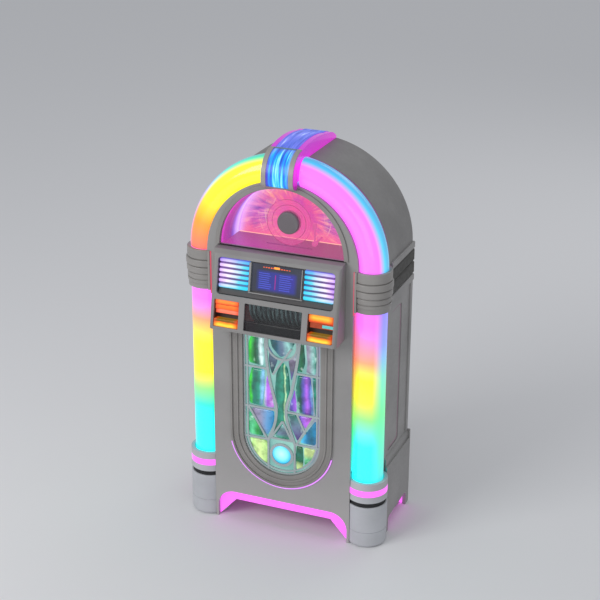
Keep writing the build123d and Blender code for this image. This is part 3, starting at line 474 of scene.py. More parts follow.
def spokes(g, reach, turn):
    """Fine bright lines: spokes that come and go with the angle, and broken hoops across them."""
    count = g.times(turn, SPOKES / (2 * math.pi))
    thin = g.size(g.minus(g.math("FRACT", count), 0.5))
    line = g.mask(thin, (0.0, 1), (0.07, 0))
    band = g.mask(g.scaled(reach, 0.0, 0.25), (0.38, 0), (0.46, 1), (0.70, 1), (0.86, 0))
    uneven = g.mask(g.noise(26.0, 2.0), (0.46, 0), (0.62, 1))
    total = g.times(g.times(line, band), uneven)
    for radius in HOOPS:
        away = g.size(g.minus(reach, radius))
        hoop = g.mask(g.scaled(away, 0.0, 0.0022), (0.0, 0.8), (1.0, 0))
        total = g.math("MAXIMUM", total, g.times(hoop, uneven))
    return g.times(total, 0.75)


def sunburst_colour(g, reach, turn):
    """Rose plastic with rays, a bright peach rim, and violet fields to the left and right."""
    polar = g.add("ShaderNodeCombineXYZ")
    g.put(g.math("COSINE", turn), polar.inputs["X"])
    g.put(g.math("SINE", turn), polar.inputs["Y"])
    g.put(g.times(reach, 1.6), polar.inputs["Z"])
    rays = g.noise(11.0, 6.0, polar.outputs[0])
    rose = g.shades(rays, (0.32, 206, 82, 160), (0.45, 232, 92, 158), (0.56, 242, 110, 146),
                    (0.66, 255, 165, 150), (0.76, 255, 215, 170))
    violet = g.shades(rays, (0.32, 138, 70, 168), (0.5, 196, 88, 180), (0.68, 235, 130, 190))
    sideways = g.scaled(g.size(g.math("SINE", turn)), 0.08, 0.55)
    outward = g.mask(g.scaled(reach, 0.075, 0.21), (0.0, 0), (0.35, 1), (0.85, 1), (1.0, 0.2))
    colour = g.mix(g.times(g.minus(1.0, sideways), outward), rose, violet)
    hoop = g.mask(g.scaled(reach, 0.0, 0.25), (0.40, 0), (0.47, 0.55), (0.54, 0))
    colour = g.mix(g.times(hoop, g.mask(rays, (0.45, 0.2), (0.65, 1))), colour, seen(255, 190, 130))
    colour = g.mix(spokes(g, reach, turn), colour, seen(255, 214, 188))
    middle = g.mask(g.scaled(reach, 0.06, 0.10), (0.0, 0.9), (1.0, 0))
    shade = g.shades(g.noise(22.0, 3.0), (0.35, 205, 70, 165), (0.65, 236, 78, 150))
    return g.mix(middle, colour, shade), rays


def sunburst_material():
    """The back plate: the sunburst, with a bright rim and a rosy foot."""
    g = Graph("sunburst")
    reach, turn = around_turntable(g)
    colour, rays = sunburst_colour(g, reach, turn)
    from_middle = g.reach(g.minus(g.z, DOME_CENTRE), g.x)
    rim = g.mask(g.scaled(from_middle, 0.19, 0.237), (0.0, 0), (0.5, 0.35), (0.85, 0.9), (1.0, 1))
    leftward = g.scaled(g.x, 0.02, -0.19)
    rim_colour = g.mix(leftward, seen(255, 168, 156), seen(240, 176, 252))
    colour = g.mix(g.times(rim, 0.85), colour, rim_colour)
    foot = g.mask(g.scaled(g.z, 1.152, 1.20), (0.0, 0.8), (1.0, 0))
    colour = g.mix(g.times(foot, g.minus(1.0, rim)), colour, seen(240, 100, 150))
    g.light_up(colour, 0.93, 0.8, Roughness=0.25)
    g.bump(rays, 0.3, 0.004)
    return g.material


def liner_material():
    """Magenta liner: lavender and bright towards the back of the left side, darker along the sill as painted
    shade, with a painted highlight along the sill's back edge.
    """
    g = Graph("dome_liner_plastic")
    back = g.scaled(g.y, -0.14, 0.007)
    wall = g.shades(back, (0.0, 232, 60, 214), (0.10, 176, 50, 160), (0.42, 142, 52, 150),
                    (0.56, 132, 84, 205), (0.70, 196, 150, 250), (0.86, 226, 190, 255), (1.0, 205, 130, 250))
    sideways = g.scaled(g.x, -0.2, 0.2)
    # Painted shade: the sill is darker than the walls.
    sill_front = g.mix(sideways, seen(172, 55, 148), seen(150, 66, 104))
    sill_back = g.mix(sideways, seen(150, 60, 128), seen(142, 66, 100))
    sill = g.mix(g.scaled(back, 0.1, 0.8), sill_front, sill_back)
    # Painted highlight: a bright peach band along the back edge of the sill.
    edge = g.mask(g.plus(back, g.times(g.noise(9.0, 2.0), 0.03)), (0.955, 0), (0.975, 1))
    sill = g.mix(edge, sill, seen(255, 190, 160))
    flat = g.under(g.z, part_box("dome_liner")[0].z + 0.0065)
    colour = g.mix(flat, wall, sill)
    g.light_up(colour, 0.92, 0.8, Roughness=0.35)
    return g.material


GROOVES = 5200.0


def record_material():
    """A translucent rose disc with fine grooves and two dark rings, made to glow though it is no lamp:
    painted light.
    """
    g = Graph("rose_record")
    reach = around_turntable(g)[0]
    groove = g.math("SINE", g.times(reach, GROOVES))
    rings = g.mask(g.scaled(reach, 0.0, 0.0875), (0.0, 0), (0.745, 0), (0.752, 0.8), (0.764, 0.8),
                   (0.771, 0), (0.978, 0), (0.988, 0.7))
    broken = g.mask(g.noise(14.0, 2.0), (0.36, 0.15), (0.50, 1))
    lines = g.times(rings, broken)
    colour = g.mix(lines, seen(232, 84, 156), seen(100, 26, 74))
    # Painted light: the disc glows rose.
    g.light_up(colour, 0.90, 0.8, Roughness=0.3, Alpha=g.plus(0.28, g.times(lines, 0.6)))
    g.bump(groove, 0.1, 0.0004)
    return g.material


# The rose of the dome's light, which parts inside the dome glow with as painted light.
ROSE_GLOW = seen(214, 84, 150)


def arm_material():
    """The tonearm's dark plastic, made to glow rose like the light round it: painted light."""
    g = Graph("rose_arm")
    g.set(Base_Color=(*tone(ROSE_GLOW, 0.3), 1), Roughness=0.4)
    # Painted light: the tonearm glows rose.
    g.glow(g.ramp(g.noise(30.0, 2.0), ((0.3, tone(ROSE_GLOW, 0.85)), (0.7, ROSE_GLOW))), 0.85)
    return g.material


dress(sunburst_material(), "dome_back")
dress(liner_material(), "dome_liner")
dress(record_material(), "playing_record")
dress(arm_material(), "tonearm")


def drive_material():
    """Bare steel behind the dome, and on what stands inside it dark rose paint that glows like the light
    round it: painted light.
    """
    g = Graph("drive_steel_and_rose_glow")
    dome_side = g.under(g.y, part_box("dome_back")[0].y)
    dust = g.noise(90.0, 4.0)
    g.set(Base_Color=g.mix(dome_side, (0.52, 0.52, 0.53), tone(ROSE_GLOW, 0.3)),
          Metallic=g.minus(0.9, g.times(dome_side, 0.9)), Roughness=g.mask(dust, (0.3, 0.26), (0.7, 0.42)))
    # Painted light: what stands inside the dome glows rose.
    g.glow(g.mix(dome_side, BLACK, seen(206, 80, 142)), 0.85)
    return g.material


dress(drive_material(), "turntable_drive")


def clear_material():
    """Clear panes, so thin a glass that only a trace of dust shows."""
    g = Graph("clear_pane")
    dust = g.noise(60.0, 4.0)
    g.set(Base_Color=(0.9, 0.92, 0.95, 1), Roughness=g.mask(dust, (0.4, 0.03), (0.8, 0.10)), Alpha=0.022)
    return g.material


dress(clear_material(), "clear_windows")

# ---- Selector housing ----

HOUSING_LOW, HOUSING_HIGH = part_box("housing_shell")
FACE_FOOT = Vector((0, HOUSING_LOW.y, HOUSING_LOW.z))
FACE_UP = Vector((0, 0.050, 0.282)).normalized()
FACE_OUT = Vector((0, -FACE_UP.z, FACE_UP.y))


def on_face(x, up, out):
    """A point from its X, its distance up the housing's sloping face and its height off it, all in mm."""
    return FACE_FOOT + Vector((x * MM, 0, 0)) + FACE_UP * up * MM + FACE_OUT * out * MM


def along(g, direction):
    """Distance of the place along a direction, in metres."""
    node = g.add("ShaderNodeVectorMath", operation="DOT_PRODUCT")
    g.put(g.place, node.inputs[0])
    node.inputs[1].default_value = direction
    return node.outputs["Value"]


def up_face(g):
    """Distance up the sloping face, in metres."""
    return g.minus(along(g, FACE_UP), FACE_FOOT.dot(FACE_UP))


def below_face(g):
    """Distance behind the sloping face, in metres."""
    return g.minus(FACE_FOOT.dot(FACE_OUT), along(g, FACE_OUT))


def housing_material():
    """The cabinet's paint outside, darkened as painted shade, and near-black painted shade inside the
    housing.
    """
    g = Graph("housing_paint")
    # Painted shade: a darker copy of the cabinet's grey.
    grey = mottled(g, BODY_GREY, 0.78, 0.92)
    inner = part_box("housing_shell")[1].x - 0.009
    middle = g.under(g.size(g.x), inner)
    deep = g.over(below_face(g), 0.0078)
    low = g.over(g.z, HOUSING_LOW.z + 0.004)
    high = g.under(g.z, HOUSING_HIGH.z - 0.020)
    # Painted shade: near-black inside the housing, behind its face.
    inside = g.times(g.times(middle, deep), g.times(low, high))
    g.set(Base_Color=g.mix(inside, grey, SHADE_BLACK), Roughness=0.48)
    g.ripple(PAINT_GRAIN)
    return g.material


dress(housing_material(), "housing_shell")

# Heights up the face, and distances from the middle, in metres.
BAR_PITCH, BAR_MIDDLE = 0.019, 0.215
BAR_INNER, BAR_OUTER = 0.108, 0.226


def bar_material():
    """Six lit bars: white and violet on the outside, cyan towards the screen, dark violet between them."""
    g = Graph("bar_lens")
    up = up_face(g)
    phase = g.math("DIVIDE", g.minus(up, BAR_MIDDLE - 3 * BAR_PITCH), BAR_PITCH)
    wave = g.size(g.minus(g.math("FRACT", phase), 0.5))
    body = g.mask(wave, (0.0, 1), (0.20, 0.95), (0.33, 0.30), (0.38, 0))
    right = g.scaled(g.x, BAR_INNER, BAR_OUTER)
    left = g.scaled(g.x, -BAR_OUTER, -BAR_INNER)
    outward = g.mix(g.over(g.x, 0.0), g.minus(1.0, left), right)
    outward = g.plus(outward, g.times(g.minus(g.noise(24.0, 3.0), 0.5), 0.5))
    colour = g.shades(outward, (0.0, 45, 205, 255), (0.26, 110, 222, 255), (0.48, 215, 228, 255),
                      (0.72, 250, 236, 255), (0.90, 226, 190, 255), (1.0, 190, 140, 250))
    slit = g.shades(outward, (0.0, 40, 70, 130), (0.5, 62, 44, 110), (1.0, 104, 50, 140))
    lit = g.mix(body, slit, colour)
    ends = g.size(g.minus(up, BAR_MIDDLE))
    far = g.mask(g.scaled(ends, 0.036, 0.057), (0.0, 0), (0.5, 0.35), (1.0, 0.75))
    low = g.under(up, BAR_MIDDLE)
    lit = g.mix(far, lit, g.mix(low, seen(96, 92, 215), seen(50, 215, 240)))
    g.light_up(lit, 0.95, 0.7, Roughness=0.15, Coat_Weight=0.4)
    return g.material


KEY_MIDDLE, KEY_HALF, KEY_SPLIT = 0.185, 0.046, 0.050
LOWER_KEY, LEFT_KEY, RIGHT_KEY = (0.012, 0.042), (0.060, 0.114), (0.082, 0.114)


def key_material():
    """Amber key: a hot yellow middle and red edges, its upper edge an unlit olive."""
    g = Graph("amber_key")
    edge = g.scaled(g.size(g.minus(g.size(g.x), KEY_MIDDLE)), 0.0, KEY_HALF)
    up = up_face(g)
    wobble = g.times(g.minus(g.noise(30.0, 3.0), 0.5), 0.006)
    height = g.plus(up, wobble)
    lower = g.shades(g.scaled(height, *LOWER_KEY), (0.0, 255, 120, 30), (0.25, 255, 222, 70),
                     (0.45, 255, 190, 45), (0.66, 250, 110, 30), (0.74, 122, 84, 14), (1.0, 128, 96, 12))
    left = g.shades(g.scaled(height, *LEFT_KEY), (0.0, 250, 108, 84), (0.26, 255, 136, 106),
                    (0.31, 176, 50, 30), (0.36, 255, 104, 40), (0.60, 255, 128, 50), (0.68, 190, 56, 22),
                    (0.74, 255, 112, 50), (0.90, 255, 150, 60), (1.0, 255, 96, 56))
    right = g.shades(g.scaled(height, *RIGHT_KEY), (0.0, 196, 74, 34), (0.18, 214, 84, 36),
                     (0.30, 255, 122, 30), (0.62, 255, 196, 66), (1.0, 255, 148, 44))
    upper = g.mix(g.over(g.x, 0.0), left, right)
    colour = g.mix(g.over(up, KEY_SPLIT), lower, upper)
    colour = g.mix(g.mask(edge, (0.62, 0), (1.0, 0.8)), colour, seen(214, 62, 26))
    g.light_up(colour, 0.95, 0.7, Roughness=0.25, Coat_Weight=0.3)
    return g.material


DIGIT_LEFT, DIGIT_LOW, DIGIT_HIGH = 0.187, 0.0655, 0.0765


def digit_material():
    """Credit display: a teal field on the right, an amber one on the left."""
    g = Graph("digit_display")
    up = up_face(g)
    teal = g.over(g.x, DIGIT_LEFT)
    inner = g.times(g.over(up, DIGIT_LOW), g.under(up, DIGIT_HIGH))
    colour = g.mix(g.times(teal, inner), seen(170, 72, 44), seen(104, 205, 205))
    mottle = g.mask(g.noise(120.0, 3.0), (0.3, 0.7), (0.7, 1))
    g.set(Base_Color=g.mix(0.7, colour, BLACK), Roughness=0.2)
    g.glow(g.multiply(colour, mottle), 0.85)
    return g.material


FIELD_EDGE_X, FIELD_EDGE_UP, FIELD_MIDDLE = (0.066, 0.082), (0.030, 0.041), 0.207


def screen_material():
    """Slate glass with a soft-edged blue field."""
    g = Graph("screen_glass")
    haze = g.noise(18.0, 3.0)
    across = g.size(g.x)
    beside = g.mask(g.scaled(across, *FIELD_EDGE_X), (0.0, 1), (1.0, 0))
    tall = g.size(g.minus(up_face(g), FIELD_MIDDLE))
    within = g.mask(g.scaled(tall, *FIELD_EDGE_UP), (0.0, 1), (1.0, 0))
    field = g.times(beside, within)
    blue = g.shades(haze, (0.3, 52, 66, 152), (0.7, 66, 62, 168))
    slate = g.shades(haze, (0.3, 52, 56, 70), (0.7, 66, 70, 84))
    colour = g.mix(field, slate, blue)
    g.set(Base_Color=(0.01, 0.01, 0.012, 1), Roughness=0.22, Coat_Weight=0.3)
    g.glow(colour, 0.82)
    return g.material


dress(bar_material(), "light_grilles")
dress(key_material(), "key_left_upper", "key_left_lower", "key_right_upper", "key_right_lower")
dress(digit_material(), "credit_display")
dress(screen_material(), "title_screen")

# ---- Mesh helpers ----


def piece(name, verts, faces, material, smooth=True):
    """A mesh piece from points and faces, riding on the cabinet."""
    mesh = bpy.data.meshes.new(name)
    mesh.from_pydata([tuple(v) for v in verts], [], faces)
    mesh.validate()
    fixed = bmesh.new()
    fixed.from_mesh(mesh)
    bmesh.ops.recalc_face_normals(fixed, faces=fixed.faces)
    fixed.to_mesh(mesh)
    fixed.free()
    mesh.materials.append(material)
    for polygon in mesh.polygons:
        polygon.use_smooth = smooth
    thing = bpy.data.objects.new(name, mesh)
    scene.collection.objects.link(thing)
    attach(thing, "cabinet")
    return thing


def bar(name, half, section, material, smooth=True):
    """A bar from -half to half along X, whose section is in Y and Z."""
    verts = [(x, y, z) for x in (-half, half) for y, z in section]
    count = len(section)
    faces = [[i, (i + 1) % count, count + (i + 1) % count, count + i] for i in range(count)]
    faces += [list(range(count)), list(range(2 * count - 1, count - 1, -1))]
    piece(name, verts, faces, material, smooth)


def slab(verts, faces, corners, rise, edge):
    """Adds a four-cornered plate with sloped edges to a mesh in the making."""
    base = len(verts)
    middle = sum(corners, Vector()) / 4
    normal = (corners[1] - corners[0]).cross(corners[3] - corners[0]).normalized()
    verts.extend(corners)
    for corner in corners:
        inward = (middle - corner).normalized()
        verts.append(corner + inward * edge + normal * rise)
    faces.append([base + i for i in (3, 2, 1, 0)])
    faces.append([base + 4 + i for i in range(4)])
    for i in range(4):
        j = (i + 1) % 4
        faces.append([base + i, base + j, base + 4 + j, base + 4 + i])


def face_plates(name, plates, out, rise, material):
    """Thin plates on the housing's face: each is X from, X to, up from, up to, in mm."""
    verts, faces = [], []
    for x0, x1, v0, v1 in plates:
        corners = [on_face(x, v, out) for x, v in ((x0, v0), (x1, v0), (x1, v1), (x0, v1))]
        slab(verts, faces, corners, rise * MM, min(x1 - x0, v1 - v0) * 0.18 * MM)
    piece(name, verts, faces, material, smooth=False)


# The screen's height off the housing's face, and the field of title strips: X and up, from and to, in mm.
SCREEN_OUT = -15.9
DISPLAY = (-72, 70, 176, 238)
ROW_COUNT = 8


def title_display():
    """Rows of title strips on the screen, a pointer between them, and a row of small lamps."""
    rows = []
    pitch = (DISPLAY[3] - DISPLAY[2]) / ROW_COUNT
    for i in range(ROW_COUNT):
        low = DISPLAY[2] + 2 + i * pitch
        for start, end in ((DISPLAY[0] + 2, -14), (10, DISPLAY[1] - 4)):
            length = (end - start) * random.uniform(0.72, 1.0)
            rows.append((start, start + length, low, low + pitch * 0.34))
    face_plates("title_strips", rows, SCREEN_OUT, 0.4, lens("strip_blue", seen(74, 82, 188), 0.85))
    face_plates("title_pointer", [(-7, -3, 178, 232)], SCREEN_OUT, 0.6,
                lens("pointer_red", seen(136, 48, 128), 0.85))
    lamps = []
    for i in range(-5, 6):
        x = i * 10 - 2
        rise = 4 - abs(i) * 0.6
        lamps.append((x - 3.6, x + 3.2, 255 - rise / 3, 256.5 + rise * random.uniform(0.5, 0.9)))
    face_plates("lamp_row", lamps, SCREEN_OUT, 0.6, lens("lamp_amber", seen(232, 98, 58), 0.9))
    face_plates("lamp_middle", [(-12, 9, 254, 262)], SCREEN_OUT + 0.5, 0.7,
                lens("lamp_bright", seen(255, 158, 62), 1.0))


def screen_surround():
    """Painted edges round the screen and along the foot of both light grilles."""
    plates = [(-106.5, -99, 159, 268), (-106, 106, 154.5, 158), (99, 102, 159, 268)]
    face_plates("screen_surround", plates, -8.2, 1.2, paint("surround_paint", BODY_GREY, 0.4))


random.seed(7)
title_display()
screen_surround()

# ---- Records in the window ----

RECORD_LOW, RECORD_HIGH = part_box("records")
# Sizes of a disc in metres, how far it leans in degrees, and the width of a pair of discs, one with a painted
# sheen and one dark.
RECORD_COUNT = 25
DISC_R, LABEL_R, HOLE_R = 0.0866, 0.046, 0.019
LEAN = 1.6
RING_STEPS = 64
PAIR_PITCH, PAIR_START = 0.018, -0.9045


def disc_profile():
    """Half section of a 7-inch record: distance from its axis and half thickness."""
    return ((HOLE_R, 0.0009), (LABEL_R, 0.0009), (LABEL_R + 0.001, 0.0006), (DISC_R - 0.003, 0.0006),
            (DISC_R, 0.0010))


def leaning_records():
    """The stored discs, each leaning a little on its neighbours; they glow with a painted sheen of pale grey
    bands, and darken as painted shade towards the rack at their foot.
    """
    g = Graph("vinyl")
    sheen = g.noise(70.0, 4.0)
    by_turns = g.math("FRACT", g.math("DIVIDE", g.minus(g.x, PAIR_START), PAIR_PITCH))
    # Painted sheen: pale grey bands on alternate discs and in patches.
    light = g.plus(g.times(g.under(by_turns, 0.5), 0.34), g.noise(26.0, 3.0))
    colour = g.shades(light, (0.36, 10, 11, 12), (0.60, 26, 31, 33), (0.80, 78, 96, 98), (0.95, 44, 54, 56))
    # Painted shade: darker towards the rack at the discs' foot.
    lit = g.scaled(g.z, RECORD_LOW.z + 0.01, RECORD_LOW.z + 0.06)
    colour = g.mix(lit, seen(12, 13, 14), colour)
    # The discs glow though they are no lamp: painted light.
    g.light_up(colour, 0.72, 0.75, Roughness=0.28)
    g.bump(sheen, 0.2, 0.001)
    centre = (RECORD_LOW + RECORD_HIGH) / 2
    span = RECORD_HIGH.x - RECORD_LOW.x - 0.0022
    verts, faces = [], []
    outline = disc_profile()
    loop = [(r, h) for r, h in outline] + [(r, -h) for r, h in reversed(outline)]
    for i in range(RECORD_COUNT):
        x = centre.x - span / 2 + span * i / (RECORD_COUNT - 1)
        lean = Matrix.Rotation(math.radians(random.uniform(-LEAN, LEAN)), 3, "Z")
        towards = LEAN if i % 2 else -LEAN
        lean = lean @ Matrix.Rotation(math.radians(towards * random.uniform(0.4, 1.0)), 3, "Y")
        base = len(verts)
        for step in range(RING_STEPS):
            angle = 2 * math.pi * step / RING_STEPS
            for r, h in loop:
                spot = lean @ Vector((h, r * math.cos(angle), r * math.sin(angle)))
                verts.append(Vector((x, centre.y, centre.z)) + spot)
        size = len(loop)
        for step in range(RING_STEPS):
            after = (step + 1) % RING_STEPS
            for k in range(size):
                m = (k + 1) % size
                faces.append([base + step * size + k, base + after * size + k, base + after * size + m,
                              base + step * size + m])
    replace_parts(piece("stored_records", verts, faces, g.material), "records")


leaning_records()

# ---- Art glass ----

GLASS_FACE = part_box("grille_glass")[0].y


def backing_material():
    """The pale teal sheet behind the cut pieces, turning to lavender along its right edge."""
    g = Graph("backing_glass")
    cloud = g.noise(9.0, 4.0)
    teal = g.shades(cloud, (0.3, 88, 150, 140), (0.5, 120, 172, 166), (0.7, 150, 205, 190))
    grey = g.shades(cloud, (0.3, 122, 128, 148), (0.7, 170, 158, 190))
    colour = g.mix(g.scaled(g.x, 0.09, 0.145), teal, grey)
    g.light_up(colour, 0.85, 0.6, Roughness=0.12, Coat_Weight=0.6)
    g.bump(cloud, 0.3, 0.002)
    return g.material


def cut_glass(name, stops, slope):
    """Marbled glass: its colours run across the piece in the direction of slope, and swirl, with white flecks
    of painted glint.
    """
    g = Graph(name)
    along = g.plus(g.times(g.x, slope[0]), g.times(g.z, slope[1]))
    swirl = g.times(g.minus(g.noise(14.0, 3.0), 0.5), 0.38)
    place = g.plus(g.scaled(along, slope[2], slope[3]), swirl)
    colour = g.ramp(place, stops)
    vein = g.mask(g.noise(30.0, 5.0), (0.36, 0.42), (0.56, 1))
    g.set(Base_Color=g.mix(0.6, colour, BLACK), Roughness=0.06, Coat_Weight=0.8)
    # Painted highlight: white glints where the noise is high.
    painted_glint = g.mask(g.noise(21.0, 3.0), (0.62, 0), (0.72, 0.65))
    g.glow(g.mix(painted_glint, g.multiply(colour, vein), seen(225, 252, 246)), 0.86)
    g.bump(g.noise(40.0, 3.0), 0.35, 0.004)
    return g.material


DARK_TEAL, TEAL, SEA = seen(18, 84, 80), seen(28, 118, 100), seen(46, 150, 124)
PINE, LEAF, BRIGHT_LEAF = seen(20, 96, 60), seen(36, 160, 70), seen(58, 214, 48)
ICE, PALE_BLUE, WHITE = seen(150, 210, 205), seen(140, 205, 250), seen(225, 252, 255)
VIOLET, LILAC, MAUVE = seen(96, 84, 190), seen(176, 100, 232), seen(128, 118, 146)
SLATE, STEEL_BLUE, PLUM = seen(100, 120, 146), seen(96, 150, 200), seen(84, 62, 128)
LIME, PALE_LIME, MINT = seen(176, 236, 134), seen(212, 240, 156), seen(96, 214, 150)
OCEAN, AZURE = seen(30, 132, 186), seen(70, 190, 236)


def stops(*colours):
    """Evenly spaced ramp stops."""
    return tuple((i / (len(colours) - 1), colour) for i, colour in enumerate(colours))


STEM_GLASS = ((0.0, DARK_TEAL), (0.25, TEAL), (0.48, SEA), (0.56, seen(30, 124, 98)),
              (0.63, seen(205, 250, 190)), (0.68, SEA), (0.80, TEAL), (1.0, DARK_TEAL))


def across(x0, x1):
    """Colours that run from one X to another, in mm."""
    return (1.0, 0.0, x0 * MM, x1 * MM)


def upward(z0, z1):
    """Colours that run from one height to another, in mm."""
    return (0.0, 1.0, z0 * MM, z1 * MM)


# Cut pieces of the art glass: name, outline in X and Z (mm), colours, and the way they run.
CUT_PIECES = (
    ("leaf_upper_left", ((-136, 690), (-80, 684), (-74, 740), (-82, 800), (-126, 800), (-136, 770)),
     stops(LEAF, BRIGHT_LEAF, LEAF, PINE, seen(60, 120, 104), WHITE, ICE), across(-142, -72)),
    ("leaf_middle_left", ((-136, 520), (-82, 516), (-76, 600), (-74, 666), (-124, 668), (-136, 620)),
     stops(LEAF, BRIGHT_LEAF, TEAL, TEAL, SEA, PALE_BLUE, PALE_BLUE), across(-140, -70)),
    ("lilac_left", ((-76, 516), (-34, 516), (-45, 570), (-64, 650)),
     stops(WHITE, LILAC, seen(206, 140, 232)), across(-80, -40)),
    ("slate_left", ((-130, 500), (-36, 500), (-36, 452), (-63, 392)),
     stops(MAUVE, seen(140, 140, 170), STEEL_BLUE, OCEAN), across(-120, -36)),
    ("leaf_lower_left", ((-137, 486), (-78, 388), (-137, 388)),
     stops(seen(20, 150, 90), MINT, LEAF, TEAL), across(-140, -84)),
    ("lime_left", ((-136, 368), (-63, 368), (-63, 268), (-92, 288), (-120, 326)),
     stops(LIME, PALE_LIME, LIME), across(-140, -50)),
    ("bowl", ((-50, 800), (-40, 764), (-8, 732), (26, 750), (50, 800)),
     stops(DARK_TEAL, seen(30, 90, 112), SLATE, ICE, DARK_TEAL), across(-50, 50)),
    ("wing_left", ((-58, 770), (-36, 736), (-22, 716), (-42, 652), (-50, 680)),
     stops(VIOLET, SLATE, seen(60, 84, 104), DARK_TEAL), upward(790, 650)),
    ("wing_right", ((62, 770), (36, 734), (26, 720), (36, 640), (46, 680)),
     stops(ICE, MAUVE, seen(90, 90, 108), VIOLET), upward(780, 630)),
    ("stem", ((-26, 652), (-4, 712), (20, 690), (28, 640), (30, 590), (10, 520), (10, 462), (-24, 410),
              (-52, 384), (-24, 450), (-14, 520), (-30, 590)),
     STEM_GLASS, across(-42, 46)),
    ("leaf_upper_right", ((60, 690), (78, 684), (90, 720), (86, 800), (70, 800)),
     stops(TEAL, PINE, DARK_TEAL), across(60, 95)),
    ("ice_upper_right", ((96, 684), (134, 684), (134, 790), (122, 800), (94, 800), (102, 730)),
     stops(MAUVE, seen(150, 150, 168), ICE, SEA), across(92, 138)),
    ("violet_middle_right", ((66, 516), (126, 512), (120, 600), (112, 668), (64, 668), (56, 610)),
     stops(DARK_TEAL, TEAL, DARK_TEAL, VIOLET, LILAC, VIOLET, PALE_BLUE), across(50, 124)),
    ("ice_middle_right", ((132, 516), (135, 516), (135, 666), (120, 666), (127, 600)),
     stops(PALE_BLUE, TEAL, SEA), across(116, 138)),
    ("lilac_right", ((26, 516), (58, 516), (50, 610)), stops(MAUVE, VIOLET, LILAC), across(20, 60)),
    ("teal_lower_right", ((22, 500), (56, 500), (86, 436), (60, 392), (40, 440)),
     stops(TEAL, SLATE, PLUM), upward(500, 400)),
    ("lilac_lower_right", ((68, 500), (122, 500), (96, 446)),
     stops(VIOLET, LILAC, seen(200, 96, 216)), across(66, 120)),
    ("ocean_lower_right", ((136, 494), (136, 388), (72, 388)),
     stops(AZURE, OCEAN, seen(24, 110, 140), OCEAN), across(80, 140)),
    ("sea_low_right", ((58, 368), (84, 368), (84, 286), (58, 272)),
     stops(PINE, TEAL, PINE, PALE_LIME), upward(368, 276)),
    ("lime_right", ((90, 368), (134, 368), (118, 326), (92, 296)),
     stops(PALE_LIME, PALE_LIME, MINT, LEAF), upward(372, 296)),
    ("small_peak", ((-30, 394), (2, 454), (32, 394)),
     stops(seen(36, 160, 118), SLATE, seen(96, 132, 138), ICE), upward(392, 456)),
)
RINGS, EDGE_POINTS = 6, 8
PILLOW_FOOT, PILLOW_RISE = 0.4 * MM, 5.0 * MM
UNDER_LEAD = 2.6 * MM


def rounded_outline(corners):
    """The outline as many points, with its corners softened."""
    points = [Vector((x, z)) * MM for x, z in corners]
    count = len(points)
    dense = []
    for i in range(count):
        before, here, after = points[i - 1], points[i], points[(i + 1) % count]
        start, end = here.lerp(before, 0.16), here.lerp(after, 0.16)
        for k in range(4):
            t = k / 3
            dense.append(start.lerp(here, t).lerp(here.lerp(end, t), t))
        exit_point, entry_point = end, after.lerp(here, 0.16)
        for k in range(1, EDGE_POINTS):
            dense.append(exit_point.lerp(entry_point, k / EDGE_POINTS))
    return dense


def pillow(name, corners, material):
    """A cut piece of glass that swells from its leads to a soft ridge."""
    outline = rounded_outline(corners)
    centre = sum(outline, Vector((0, 0))) / len(outline)
    outline = [point + (point - centre).normalized() * UNDER_LEAD for point in outline]
    verts, faces = [], []
    for ring in range(RINGS + 1):
        shrink = 1 - ring / (RINGS + 1)
        rise = PILLOW_FOOT + PILLOW_RISE * math.sqrt(1 - shrink ** 2) if ring else PILLOW_FOOT * 0.5
        for point in outline:
            spot = centre.lerp(point, shrink)
            verts.append((spot.x, GLASS_FACE - rise, spot.y))
    count = len(outline)
    top = len(verts)
    verts.append((centre.x, GLASS_FACE - PILLOW_FOOT - PILLOW_RISE, centre.y))
    for ring in range(RINGS):
        for i in range(count):
            j = (i + 1) % count
            faces.append([ring * count + i, ring * count + j, (ring + 1) * count + j, (ring + 1) * count + i])
    for i in range(count):
        faces.append([RINGS * count + i, RINGS * count + (i + 1) % count, top])
    faces.append(list(range(count - 1, -1, -1)))
    piece(name, verts, faces, material)


dress(backing_material(), "grille_glass")
for name, corners, colours, direction in CUT_PIECES:
    pillow("glass_" + name, corners, cut_glass(name, colours, direction))


def jewel_material():
    """Cyan glass button, almost white in the middle."""
    g = Graph("jewel")
    low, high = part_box("grille_jewel")
    middle = (low + high) / 2
    reach = g.reach(g.minus(g.z, middle.z + 0.006), g.minus(g.x, middle.x))
    colour = g.shades(g.scaled(reach, 0.0, 0.042), (0.0, 186, 246, 255), (0.55, 136, 232, 254),
                      (0.85, 70, 200, 240), (1.0, 36, 140, 180))
    g.light_up(colour, 0.95, 0.6, Roughness=0.06, Coat_Weight=0.6)
    return g.material


dress(jewel_material(), "grille_jewel")

# ---- Softened edges ----


def soften(width, segments, *nodes):
    """Rounds the sharp edges of CAD nodes."""
    for name in nodes:
        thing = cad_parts[name]
        thing.modifiers.new("weld", "WELD").merge_threshold = 0.00002
        bevel = thing.modifiers.new("bevel", "BEVEL")
        bevel.width, bevel.segments = width, segments
        bevel.limit_method, bevel.angle_limit = "ANGLE", math.radians(55)


soften(0.0026, 3, "light_grilles")
soften(0.0014, 2, "housing_shell", "side_bands", "plinth_boards", "display_bezel")

# ---- Painted shadow strip over the housing ----

BEAD_OUT, BEAD_RISE = 0.0052, 0.0019


